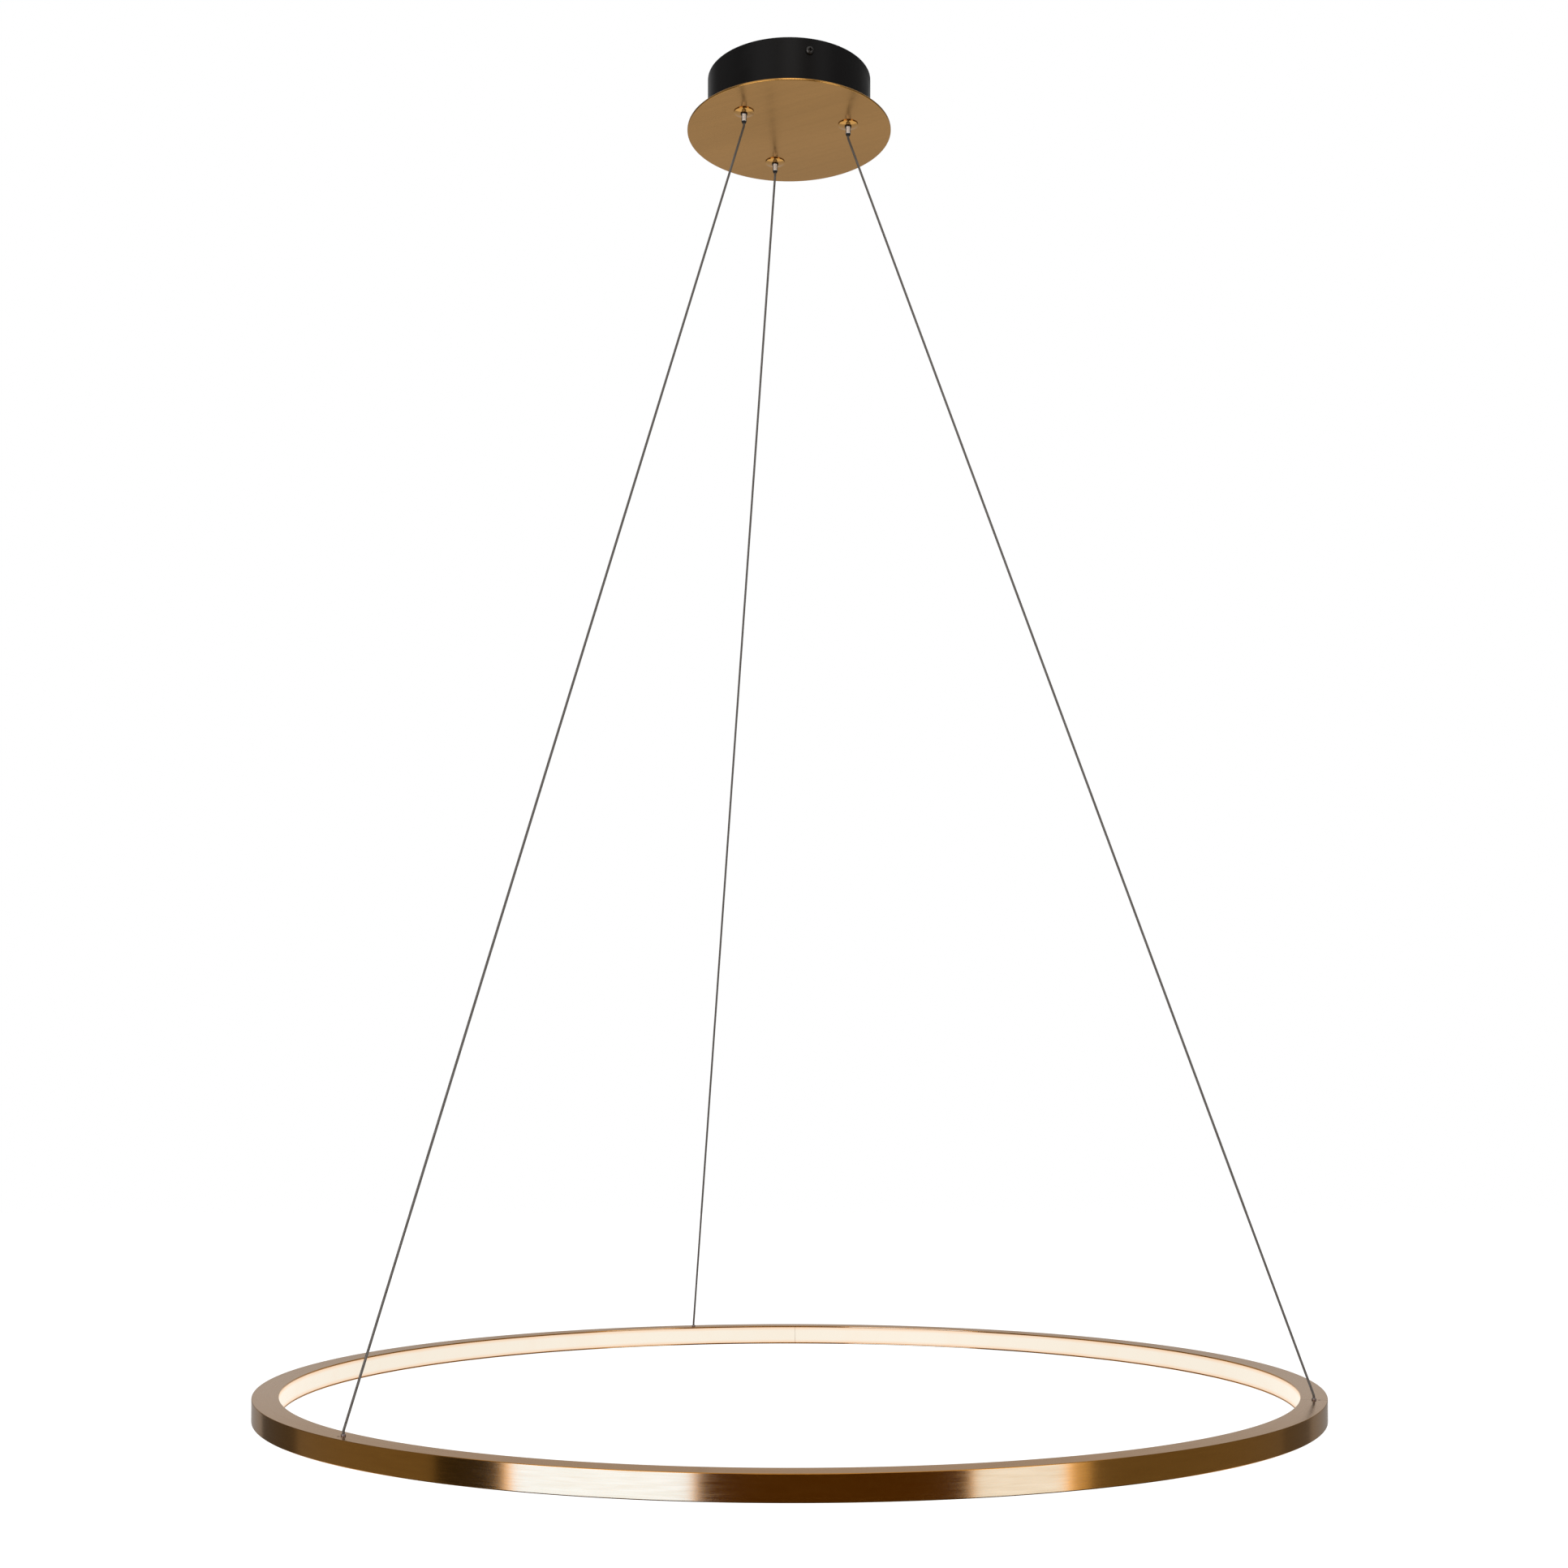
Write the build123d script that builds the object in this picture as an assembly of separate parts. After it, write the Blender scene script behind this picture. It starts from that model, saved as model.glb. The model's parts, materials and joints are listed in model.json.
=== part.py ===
# A ring chandelier: a round ceiling canopy, three gripped steel cables and a lit ring.
# Millimetres, +Z up. The origin is the centre of the ceiling face of the mounting bracket.
from build123d import *
from math import cos, pi, radians, sin, tan
import os

os.makedirs("parts", exist_ok=True)

# Ring
ring_d = 1000.0           # outside diameter
ring_width = 24.0         # radial width of the aluminium section
ring_height = 21.0        # height of the section
channel_wall = 1.5        # wall of the section
edge_bevel = 0.4          # broken outer edges of the section
seam_gap = 0.3            # butt joint where the rolled section closes
clip_rib = 0.8            # height and width of the ribs that hold the diffuser
clip_setback = 3.0        # from the inner edge to the clip rib
diffuser_wall = 1.6       # thickness of the opal face
diffuser_leg = 1.2        # thickness of its two legs
diffuser_gap = 0.1        # play of the diffuser in the section
diffuser_joint_deg = 89.0  # where its two ends meet
strip_height = 10.0       # LED strip
strip_thickness = 0.3
strip_adhesive = 0.1
chip_count = 120
chip_width = 2.8
chip_height = 3.5
chip_thickness = 0.8

# Anchors of the cables in the ring
anchor_plate_length = 40.0
anchor_plate_thickness = 2.0
nipple_r = 2.0            # collar that stands on the ring
nipple_stand = 1.5        # its height above the ring
nipple_stem_r = 1.75      # threaded part below the collar
lock_screw_r = 1.25
lock_screw_offset = 4.5   # outwards from the cable
lock_screw_recess = 1.2   # its top below the ring's face
lock_socket_depth = 1.0
cable_crimp_r = 2.3
cable_crimp_length = 6.0
lead_d = 1.2              # thin lead inside the ring
lead_bend_r = 1.8
joiner_length = 60.0
joiner_thickness = 1.5
joiner_screw_r = 1.25
joiner_head_r = 2.5
joiner_screw_count = 4

# Suspension
suspension_drop = 1220.0  # canopy plate to the top of the ring, cables paid out to their stops
cable_d = 2.2
first_arm_deg = 103.5     # direction of the first cable; the others follow at equal angles
arm_count = 3
gripper_circle_r = 60.0   # grippers from the canopy's centre
bend_run = 2.2            # straight bit before the cable turns at each end
bend_share = 0.9          # of that bit that the arc takes up

# Canopy
plate_d = 200.0
plate_thickness = 2.0
housing_d = 160.0
housing_height = 50.0
housing_wall = 1.2
housing_corner_r = 2.0

# Ceiling bracket
bracket_d = 140.0
bracket_thickness = 1.5
tab_width = 14.0
tab_drop = 20.0
tab_bend_r = 2.5
tab_clearance = 0.9       # tab face to the inside of the housing
entry_d = 30.0            # hole for the mains cable
slot_spacing = 100.0
slot_length = 16.0
slot_width = 5.0
side_screw_deg = 284.0    # direction of the first side screw
side_screw_count = 2
side_screw_drop = 12.0    # below the ceiling
side_screw_r = 2.0
side_screw_length = 8.0
side_head_r = 4.0
side_head_height = 2.6
earth_screw_y = -38.0

# Cable gripper; heights are from the plate's underside
stem_r = 5.0              # threaded stem
flange_r = 9.8
flange_rim = 0.8
flange_height = 1.8
flange_hub_r = 3.9
bush_r = 3.3
bush_drop = 2.8
nozzle_r = 2.5
nozzle_grip = 3.6         # nozzle left to hold when it is pushed right in
tip_length = 1.9
tip_r = 1.7
tip_spigot_r = 1.9
tip_spigot_length = 3.0
shoulder_height = 5.0     # top of the bush, where the cage rests
cone_deg = 6.0
cone_length = 8.0
ball_r = 1.2
ball_height = 8.5
ball_count = 3
cage_r = 2.9
cage_top = 14.0
window_r = 1.3
cap_r = 6.0
cap_skirt = 6.0
cap_roof = 1.5
nut_flats = 14.0
nut_thickness = 3.0
spring_wire_r = 0.3
spring_r = 2.4            # centre line of the wire
spring_turns = 5
spring_length = 10.0
cable_stop_r = 2.5
cable_stop_length = 6.0
plunger_travel = 3.0

# LED driver and terminals, on the floor of the housing
driver_length = 110.0
driver_width = 36.0
driver_height = 24.0
driver_wall = 1.5
driver_split = 14.0       # height of the lower half
driver_y = 13.0
ear_length = 8.0
ear_width = 12.0
ear_thickness = 2.0
stud_r = 1.5
stud_height = 6.0
stud_nut_flats = 5.5
stud_nut_thickness = 2.4
board_thickness = 1.6
board_height = 4.0        # underside of the board above the case floor
transformer_length = 18.0
transformer_width = 20.0
transformer_height = 13.0
capacitor_r = 5.0
capacitor_pitch = 12.0
capacitor_height = 15.0
inductor_r = 6.0
inductor_height = 11.0
spacer_r = 3.0
terminal_length = 30.0
terminal_width = 14.0
terminal_height = 12.0
terminal_corner_r = 1.0
terminal_ways = 3
terminal_hole_r = 1.5
mains_terminal_x = 26.0
mains_terminal_y = 47.0
output_terminal_x = 10.0
output_terminal_y = -17.0
terminal_screw_r = 1.3
terminal_screw_length = 4.0
wire_d = 1.8
tail_run_drop = 10.0      # height of the cable tails below the ceiling
tail_bend_r = 8.0

# Fits
thread_gap = 0.03         # threads are plain cylinders with this play
running_gap = 0.05        # plunger in its bush
cable_gap = 0.3           # cable in the bores that slide on it
ball_touch = 0.03         # ball to cable
ball_seat = 0.05          # ball to cone
seat_gap = 0.05           # faces that rest on each other across a moving joint
hole_gap = 0.1            # clearance holes

# Derived sizes
ring_r = ring_d / 2
ring_inner_r = ring_r - ring_width
anchor_r = ring_r - ring_width / 2
cable_r = cable_d / 2
plate_r = plate_d / 2
housing_r = housing_d / 2
housing_inner_r = housing_r - housing_wall
floor_top = housing_wall - housing_height
plate_bottom = -housing_height - plate_thickness
nozzle_drop = bush_drop + plunger_travel + nozzle_grip
tip_drop = nozzle_drop + tip_length
mouth = plate_bottom - tip_drop
stem_top = cage_top + spring_length
ring_top = plate_bottom - suspension_drop
ring_bottom = ring_top - ring_height
nipple_top = ring_top + nipple_stand
anchor_plate_bottom = ring_top - channel_wall - anchor_plate_thickness
arm_degs = [first_arm_deg + 360 * i / arm_count for i in range(arm_count)]
seam_deg = arm_degs[-1]
grip_depth = plate_thickness + housing_wall
clip_r = ring_inner_r + clip_setback
strip_face_r = ring_r - channel_wall - strip_adhesive - strip_thickness
ball_circle_r = cable_r + ball_r + ball_touch
cone_slope = tan(radians(cone_deg))
cone_r_at_ball = ball_circle_r + (ball_r + ball_seat) / cos(radians(cone_deg))
cone_bottom_r = cone_r_at_ball - (ball_height - shoulder_height) * cone_slope
chamber_r = cone_bottom_r + cone_length * cone_slope
sleeve_bore_r = cable_r + cable_gap
letters = "abc"


# Small tools
def rod(r, low, high):
    """Upright cylinder on the Z axis between two heights."""
    return Pos(0, 0, low) * Cylinder(r, high - low, align=(Align.CENTER, Align.CENTER, Align.MIN))


def turned(points, degrees=360.0):
    """Solid turned about Z from an outline of (radius, height) points."""
    outline = Polyline([(r, 0, z) for r, z in points], close=True)
    return revolve(make_face(outline), axis=Axis.Z, revolution_arc=degrees)


def block(x_size, y_size, low, high):
    """Box centred on the Z axis between two heights."""
    return Pos(0, 0, low) * Box(x_size, y_size, high - low, align=(Align.CENTER, Align.CENTER, Align.MIN))


def hex_nut(flats, low, high, bore_r):
    hexagon = RegularPolygon(flats / 2, 6, major_radius=False)
    return Pos(0, 0, low) * extrude(hexagon, high - low) - rod(bore_r, low - 1, high + 1)


def around(deg, x=0.0, z=0.0):
    """Place at a radius and height in a given direction."""
    return Rot(0, 0, deg) * Pos(x, 0, z)


def arc_point(deg, r, z):
    return Vector(r * cos(radians(deg)), r * sin(radians(deg)), z)


def tube(points, diameter, radii):
    """Round tube along straight runs joined by tangent arcs."""
    path = FilletPolyline(*points, radius=radii)
    start = Plane(path @ 0, z_dir=path % 0)
    return sweep(start * Circle(diameter / 2), path=path)


def arc_plate(length, r_inner, r_outer, low, high, deg):
    """Flat plate curved like the ring, centred on a direction."""
    span = length / ((r_inner + r_outer) / 2) * 180 / pi
    corners = [(r_inner, low), (r_outer, low), (r_outer, high), (r_inner, high)]
    return Rot(0, 0, deg - span / 2) * turned(corners, span)


def save(name, *solids):
    shape = solids[0] if len(solids) == 1 else Compound(children=list(solids))
    export_step(shape, f"parts/{name}.step")


# Screws
def pan_screw(shank_r, length, head_r, head_height):
    """Pan-head screw with a cross recess; its head sits on the plane z = 0."""
    crown = 0.55 * head_r
    head = turned([(0, 0), (head_r, 0), (head_r, head_height / 2), (crown, head_height), (0, head_height)])
    recess_depth = 0.6 * head_height
    blade = block(head_r, head_r / 4, head_height - recess_depth, head_height + 1)
    return head + rod(shank_r, -length, 0.1) - blade - Rot(0, 0, 90) * blade


def side_screw_place(i):
    deg = side_screw_deg + 360 * i / side_screw_count
    return around(deg, housing_r, -side_screw_drop) * Rot(0, 90, 0)


def countersunk_screw(r, head_r, length, head_depth):
    """Flush screw that points up; its head face is the plane z = 0."""
    body = turned([(0, 0), (head_r, 0), (r, head_depth), (r, length), (0, length)])
    return body - block(1.5 * head_r, r / 2, -1, head_depth / 2)


# Canopy
def ceiling_bracket():
    tab_face = housing_inner_r - tab_clearance
    bend = make_face(Polyline([(0, 0, 0), (tab_face, 0, 0), (tab_face, 0, -tab_drop),
                               (tab_face - bracket_thickness, 0, -tab_drop),
                               (tab_face - bracket_thickness, 0, -bracket_thickness),
                               (0, 0, -bracket_thickness)], close=True))
    outer = bend.vertices().sort_by_distance((tab_face, 0, 0))[0]
    bend = fillet(outer, tab_bend_r)
    inner = bend.vertices().sort_by_distance((tab_face - bracket_thickness, 0, -bracket_thickness))[0]
    bend = fillet(inner, tab_bend_r - bracket_thickness)
    arm = extrude(bend, tab_width / 2, both=True)
    plate = rod(bracket_d / 2, -bracket_thickness, 0)
    for i in range(side_screw_count):
        plate += Rot(0, 0, side_screw_deg + 360 * i / side_screw_count) * arm
    plate -= rod(entry_d / 2, -bracket_thickness - 1, 1)
    slot = extrude(SlotOverall(slot_length, slot_width), bracket_thickness + 2)
    for x in (-slot_spacing / 2, slot_spacing / 2):
        plate -= Pos(x, 0, -bracket_thickness - 1) * slot
    for i in range(side_screw_count):
        plate -= side_screw_place(i) * rod(side_screw_r + thread_gap, -side_screw_length - 2, 1)
    return plate - Pos(0, earth_screw_y, 0) * rod(side_screw_r + thread_gap, -bracket_thickness - 1, 1)


def canopy_housing():
    cup = rod(housing_r, -housing_height, 0)
    cup = fillet(cup.edges().filter_by(GeomType.CIRCLE).sort_by(Axis.Z)[0], housing_corner_r)
    cup -= rod(housing_inner_r, floor_top, 1)
    for deg in arm_degs:
        cup -= around(deg, gripper_circle_r) * rod(stem_r + hole_gap, -housing_height - 1, floor_top + 1)
    for i in range(side_screw_count):
        cup -= side_screw_place(i) * rod(side_screw_r + hole_gap, -housing_wall - 2, 1)
    for x in stud_positions():
        cup += Pos(x, driver_y, 0) * rod(stud_r, floor_top - housing_wall / 2, floor_top + stud_height)
    return cup


def canopy_plate():
    bevel = edge_bevel
    disc = turned([(0, plate_bottom), (plate_r - bevel, plate_bottom), (plate_r, plate_bottom + bevel),
                   (plate_r, -housing_height - bevel), (plate_r - bevel, -housing_height),
                   (0, -housing_height)])
    for deg in arm_degs:
        disc -= around(deg, gripper_circle_r) * rod(stem_r + hole_gap, plate_bottom - 1, 1 - housing_height)
    return disc


def housing_screws():
    screw = pan_screw(side_screw_r, side_screw_length, side_head_r, side_head_height)
    return [side_screw_place(i) * screw for i in range(side_screw_count)]


def earth_screw():
    screw = pan_screw(side_screw_r, bracket_thickness, side_head_r, side_head_height)
    return Pos(0, earth_screw_y, -bracket_thickness) * Rot(180, 0, 0) * screw


# Driver and terminals
def stud_positions():
    reach = driver_length / 2 + ear_length / 2
    return (-reach, reach)


def driver_shell(low, high, hollow_low, hollow_high):
    """Rounded box of the driver's outline between two heights, hollowed between two others."""
    shell = block(driver_length, driver_width, low, high)
    shell = fillet(shell.edges().filter_by(Axis.Z), 2 * driver_wall)
    hollow = block(driver_length - 2 * driver_wall, driver_width - 2 * driver_wall, hollow_low, hollow_high)
    return shell - fillet(hollow.edges().filter_by(Axis.Z), driver_wall)


def driver_case():
    case = driver_shell(0, driver_split, driver_wall, driver_split + 1)
    ears = block(driver_length + 2 * ear_length, ear_width, 0, ear_thickness)
    case += ears - block(driver_length - driver_wall, ear_width + 1, -1, ear_thickness + 1)
    for x in stud_positions():
        case -= Pos(x, 0, 0) * rod(stud_r + hole_gap, -1, ear_thickness + 1)
    case -= lead_holes()
    return Pos(0, driver_y, floor_top) * case


def driver_cover():
    cover = driver_shell(driver_split, driver_height, driver_split - 1, driver_height - driver_wall)
    return Pos(0, driver_y, floor_top) * cover


def driver_board():
    """Circuit board on its parts' side: transformer, capacitors and inductor in one piece with it."""
    top = board_height + board_thickness
    length = driver_length - 2 * driver_wall - 2 * hole_gap
    board = block(length, driver_width - 4 * driver_wall, board_height, top)
    board += block(transformer_length, transformer_width, top, top + transformer_height)
    for y in (-capacitor_pitch / 2, capacitor_pitch / 2):
        board += Pos(-length / 4, y, 0) * rod(capacitor_r, top, top + capacitor_height)
    board += Pos(length / 4, 0, 0) * rod(inductor_r, top, top + inductor_height)
    for x in (-length / 3, length / 3):
        board += Pos(x, 0, 0) * rod(spacer_r, driver_wall, board_height)
    return Pos(0, driver_y, floor_top) * board


def lead_xs(terminal_x):
    """The two outer ways of a terminal, where its leads run straight across to the driver."""
    return [terminal_x + side * way_pitch() for side in (-1, 1)]


def lead_holes():
    """Openings in the sides of the lower half of the case for the mains leads and the output leads."""
    hole = rod(wire_d / 2 + hole_gap, driver_width / 2 - 2 * driver_wall, driver_width)
    mains = [Pos(x, 0, lead_height()) * Rot(-90, 0, 0) * hole for x in lead_xs(mains_terminal_x)]
    return mains + [Pos(x, 0, lead_height()) * Rot(90, 0, 0) * hole for x in lead_xs(output_terminal_x)]


def lead_height():
    return terminal_height / 2


def way_pitch():
    return terminal_length / terminal_ways


def stud_nuts():
    nut = hex_nut(stud_nut_flats, ear_thickness, ear_thickness + stud_nut_thickness, stud_r + thread_gap)
    return [Pos(x, driver_y, floor_top) * nut for x in stud_positions()]


def terminal(top_entry):
    """Moulded block with one cross hole and one screw hole for each way."""
    body = block(terminal_length, terminal_width, 0, terminal_height)
    body = fillet(body.edges().filter_by(Axis.Z), terminal_corner_r)
    for i in range(terminal_ways):
        x = (i - (terminal_ways - 1) / 2) * way_pitch()
        across = Rot(90, 0, 0) * rod(terminal_hole_r, -terminal_width, terminal_width)
        body -= Pos(x, 0, lead_height()) * across
        if top_entry:
            body -= Pos(x, terminal_width / 4, 0) * rod(sleeve_bore_r, lead_height(), terminal_height + 1)
        body -= Pos(x, -terminal_width / 4, 0) * rod(terminal_screw_r + thread_gap, lead_height(),
                                                     terminal_height + 1)
    return body


def terminal_screws():
    top = terminal_height - edge_bevel
    slot_floor = top - terminal_screw_length / 4
    grub = rod(terminal_screw_r, top - terminal_screw_length, top)
    grub -= block(3 * terminal_screw_r, terminal_screw_r / 2, slot_floor, terminal_height)
    places = []
    for x0, y0 in ((mains_terminal_x, mains_terminal_y), (output_terminal_x, output_terminal_y)):
        for i in range(terminal_ways):
            x = x0 + (i - (terminal_ways - 1) / 2) * way_pitch()
            places.append(Pos(x, y0 - terminal_width / 4, floor_top) * grub)
    return places


def internal_leads():
    """Two mains leads and two output leads, each from the driver's case into its terminal."""
    z = floor_top + lead_height()
    inset = driver_width / 2 - driver_wall
    past_tail = output_terminal_y + terminal_width / 4 + cable_r + cable_gap
    mains = rod(wire_d / 2, driver_y + inset, mains_terminal_y)
    output = rod(wire_d / 2, past_tail, driver_y - inset)
    leads = [Pos(x, 0, z) * Rot(-90, 0, 0) * mains for x in lead_xs(mains_terminal_x)]
    return leads + [Pos(x, 0, z) * Rot(-90, 0, 0) * output for x in lead_xs(output_terminal_x)]


# Grippers, in their own frame: Z axis on the cable, z = 0 on the plate's underside
def gripper_body():
    """Domed flange and threaded stem, bored for the bush, the cone and the spring."""
    bore = bush_r + thread_gap
    return turned([(bore, -flange_height), (flange_hub_r, -flange_height), (flange_r, -flange_rim),
                   (flange_r, 0), (stem_r, 0), (stem_r, stem_top), (chamber_r, stem_top),
                   (chamber_r, shoulder_height + cone_length), (cone_bottom_r, shoulder_height),
                   (bore, shoulder_height)])


def guide_bush():
    bore = nozzle_r + running_gap
    return turned([(bore, -bush_drop), (bush_r, -bush_drop), (bush_r, shoulder_height),
                   (bore, shoulder_height)])


def gripper_cap():
    thread_r = stem_r + thread_gap
    top = stem_top + cap_roof
    return turned([(sleeve_bore_r, stem_top), (thread_r, stem_top), (thread_r, stem_top - cap_skirt),
                   (cap_r, stem_top - cap_skirt), (cap_r, top), (sleeve_bore_r, top)])


def gripper_plunger():
    """Nozzle that the hand pushes up, with the ball cage at its top."""
    low = shoulder_height + seat_gap
    spigot_top = tip_spigot_length - nozzle_drop
    body = turned([(tip_spigot_r, -nozzle_drop), (nozzle_r, -nozzle_drop), (nozzle_r, low), (cage_r, low),
                   (cage_r, cage_top), (sleeve_bore_r, cage_top), (sleeve_bore_r, spigot_top),
                   (tip_spigot_r, spigot_top)])
    window = Rot(0, 90, 0) * rod(window_r, 0, 2 * cage_r)
    for deg in ball_degs():
        body -= around(deg, 0, ball_height) * window
    return body


def nozzle_tip():
    spigot = tip_spigot_r - thread_gap
    top = tip_spigot_length - nozzle_drop
    return turned([(sleeve_bore_r, -tip_drop), (tip_r, -tip_drop), (nozzle_r, -nozzle_drop),
                   (spigot, -nozzle_drop), (spigot, top), (sleeve_bore_r, top)])


def ball_degs():
    return [360 * i / ball_count for i in range(ball_count)]


def gripper_balls():
    return [around(deg, ball_circle_r, ball_height) * Sphere(ball_r) for deg in ball_degs()]


def gripper_spring():
    height = spring_length - 2 * spring_wire_r - 2 * seat_gap
    coil = Helix(height / spring_turns, height, spring_r)
    section = Plane(coil @ 0, z_dir=coil % 0) * Circle(spring_wire_r)
    return Pos(0, 0, cage_top + spring_wire_r + seat_gap) * sweep(section, path=coil)


def cable_stop():
    """Crimped sleeve that stops the cable at its full drop."""
    low = stem_top + cap_roof
    high = low + cable_stop_length
    return rod(cable_stop_r, low, high) - rod(cable_r + thread_gap, low - 1, high + 1)


def at_gripper(deg):
    return around(deg, gripper_circle_r, plate_bottom)


def cable_tail(deg, way):
    """The cable's end inside the canopy, from the nozzle's mouth to its terminal."""
    start = arc_point(deg, gripper_circle_r, mouth)
    way_x = output_terminal_x + (way - (terminal_ways - 1) / 2) * way_pitch()
    end = Vector(way_x, output_terminal_y + terminal_width / 4, floor_top + lead_height() + hole_gap)
    route = [start, Vector(start.X, start.Y, -tail_run_drop), Vector(end.X, end.Y, -tail_run_drop), end]
    return tube(route, cable_d, tail_bend_r)


def suspension_cable(deg):
    """The free stretch, tight from the nozzle's mouth to the nipple on the ring."""
    route = [arc_point(deg, gripper_circle_r, mouth), arc_point(deg, gripper_circle_r, mouth - bend_run),
             arc_point(deg, anchor_r, nipple_top + bend_run), arc_point(deg, anchor_r, nipple_top)]
    turn = (route[1] - route[0]).get_angle(route[2] - route[1])
    bend_r = bend_share * bend_run / tan(radians(turn / 2))
    cable = tube(route, cable_d, bend_r)
    length = cable.volume / (pi * cable_r ** 2)
    print("suspension cable", round(deg, 1), "bend radius", round(bend_r, 1), "length", round(length, 1))
    return cable


# Ring
def ring_channel():
    """Rolled section, open to the inside, with a rib on each flange that the diffuser clips behind."""
    bevel = edge_bevel
    wall = channel_wall
    rib_back = clip_r + clip_rib
    half = [(ring_inner_r, 0), (ring_r - bevel, 0), (ring_r, -bevel), (ring_r, -ring_height / 2),
            (ring_r - wall, -ring_height / 2), (ring_r - wall, -wall), (rib_back, -wall),
            (rib_back, -wall - clip_rib), (clip_r, -wall - clip_rib), (clip_r, -wall),
            (ring_inner_r, -wall)]
    lower = [(r, -ring_height - z) for r, z in half]
    outline = half[:3] + lower[2::-1] + lower[:3:-1] + half[5:]
    gap_deg = seam_gap / ring_r * 180 / pi
    body = Rot(0, 0, seam_deg + gap_deg / 2) * turned(outline, 360 - gap_deg)
    body = Pos(0, 0, ring_top) * body
    body -= anchor_holes(ring_top - wall - 1, ring_top + 1)
    narrow = joiner_screw_r + hole_gap
    wide = joiner_head_r + hole_gap
    for place in joiner_screw_places():
        body -= place * turned([(0, -1), (wide, -1), (wide, 0), (narrow, wall), (narrow, wall + 1),
                                (0, wall + 1)])
    return body


def anchor_holes(low, high):
    """At each cable, the nipple's hole and the lock screw's hole."""
    nipple_hole = rod(nipple_stem_r + thread_gap, low, high)
    screw_hole = rod(lock_screw_r + thread_gap, low, high)
    places = [around(deg, anchor_r) * nipple_hole for deg in arm_degs]
    return places + [around(deg, anchor_r + lock_screw_offset) * screw_hole for deg in arm_degs]


def diffuser():
    """Opal strip that closes the section: its legs spring behind the two ribs."""
    top = channel_wall + diffuser_gap
    leg_top = channel_wall + clip_rib + diffuser_gap
    leg_bottom = leg_top + diffuser_leg
    face = ring_inner_r + diffuser_wall
    rib_front = clip_r - diffuser_gap
    barb = clip_r + clip_rib + diffuser_gap
    end = barb + clip_rib
    half = [(ring_inner_r, -top), (rib_front, -top), (rib_front, -leg_top), (barb, -leg_top), (barb, -top),
            (end, -leg_top), (end, -leg_bottom), (face, -leg_bottom)]
    lower = [(r, -ring_height - z) for r, z in half]
    gap_deg = seam_gap / ring_inner_r * 180 / pi
    strip = turned(half + lower[::-1], 360 - gap_deg)
    return Pos(0, 0, ring_top) * Rot(0, 0, diffuser_joint_deg + gap_deg / 2) * strip


def led_strip():
    gap_deg = 2 * chip_width / ring_r * 180 / pi
    middle = ring_top - ring_height / 2
    low = middle - strip_height / 2
    high = middle + strip_height / 2
    back_r = strip_face_r + strip_thickness
    strip = turned([(strip_face_r, low), (back_r, low), (back_r, high), (strip_face_r, high)], 360 - gap_deg)
    return Rot(0, 0, seam_deg + gap_deg / 2) * strip


def led_chips():
    sag = strip_face_r - (strip_face_r ** 2 - (chip_width / 2) ** 2) ** 0.5
    middle = ring_top - ring_height / 2
    chip = Box(chip_thickness, chip_width, chip_height)
    chip = Pos(strip_face_r - sag - chip_thickness / 2, 0, middle) * chip
    return [Rot(0, 0, seam_deg + 360 * (i + 0.5) / chip_count) * chip for i in range(chip_count)]


def anchor_plate(deg):
    inner = clip_r + 2 * clip_rib + 3 * diffuser_gap
    outer = strip_face_r - 2 * chip_thickness
    top = ring_top - channel_wall
    plate = arc_plate(anchor_plate_length, inner, outer, anchor_plate_bottom, top, deg)
    return plate - anchor_holes(anchor_plate_bottom - 1, top + 1)


def anchor_nipple(deg):
    bore = cable_r + hole_gap
    bevel = edge_bevel
    nipple = turned([(bore, anchor_plate_bottom), (nipple_stem_r, anchor_plate_bottom),
                     (nipple_stem_r, ring_top), (nipple_r, ring_top), (nipple_r, nipple_top - bevel),
                     (nipple_r - bevel, nipple_top), (bore, nipple_top)])
    return around(deg, anchor_r) * nipple


def lock_screws():
    top = ring_top - lock_screw_recess
    screw = rod(lock_screw_r, anchor_plate_bottom, top)
    hexagon = RegularPolygon(lock_screw_r / 2, 6)
    socket = Pos(0, 0, top - lock_socket_depth) * extrude(hexagon, 2 * lock_socket_depth)
    return [around(deg, anchor_r + lock_screw_offset) * (screw - socket) for deg in arm_degs]


def cable_end(deg):
    """The cable through the nipple, with the crimp that holds the ring under the anchor plate."""
    top = anchor_plate_bottom - seat_gap
    crimp = rod(cable_crimp_r, top - cable_crimp_length, top)
    return around(deg, anchor_r) * (crimp + rod(cable_r, top - cable_crimp_length / 2, nipple_top))


def ring_leads():
    """Leads from the two live cables to the LED strip."""
    start = anchor_plate_bottom - seat_gap - cable_crimp_length
    fall = lead_d + lead_bend_r
    leads = []
    for deg in arm_degs[1:]:
        route = [(anchor_r, 0, start), (anchor_r, 0, start - fall), (strip_face_r, 0, start - fall)]
        leads.append(Rot(0, 0, deg) * tube(route, lead_d, lead_bend_r))
    return leads


def joiner_screw_places():
    """Two countersunk screws each side of the seam, in from below."""
    middle = (clip_r + 2 * clip_rib + ring_r - channel_wall) / 2
    pitch = joiner_length / joiner_screw_count / middle * 180 / pi
    steps = [i - (joiner_screw_count - 1) / 2 for i in range(joiner_screw_count)]
    return [around(seam_deg + step * pitch, middle, ring_bottom) for step in steps]


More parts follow.
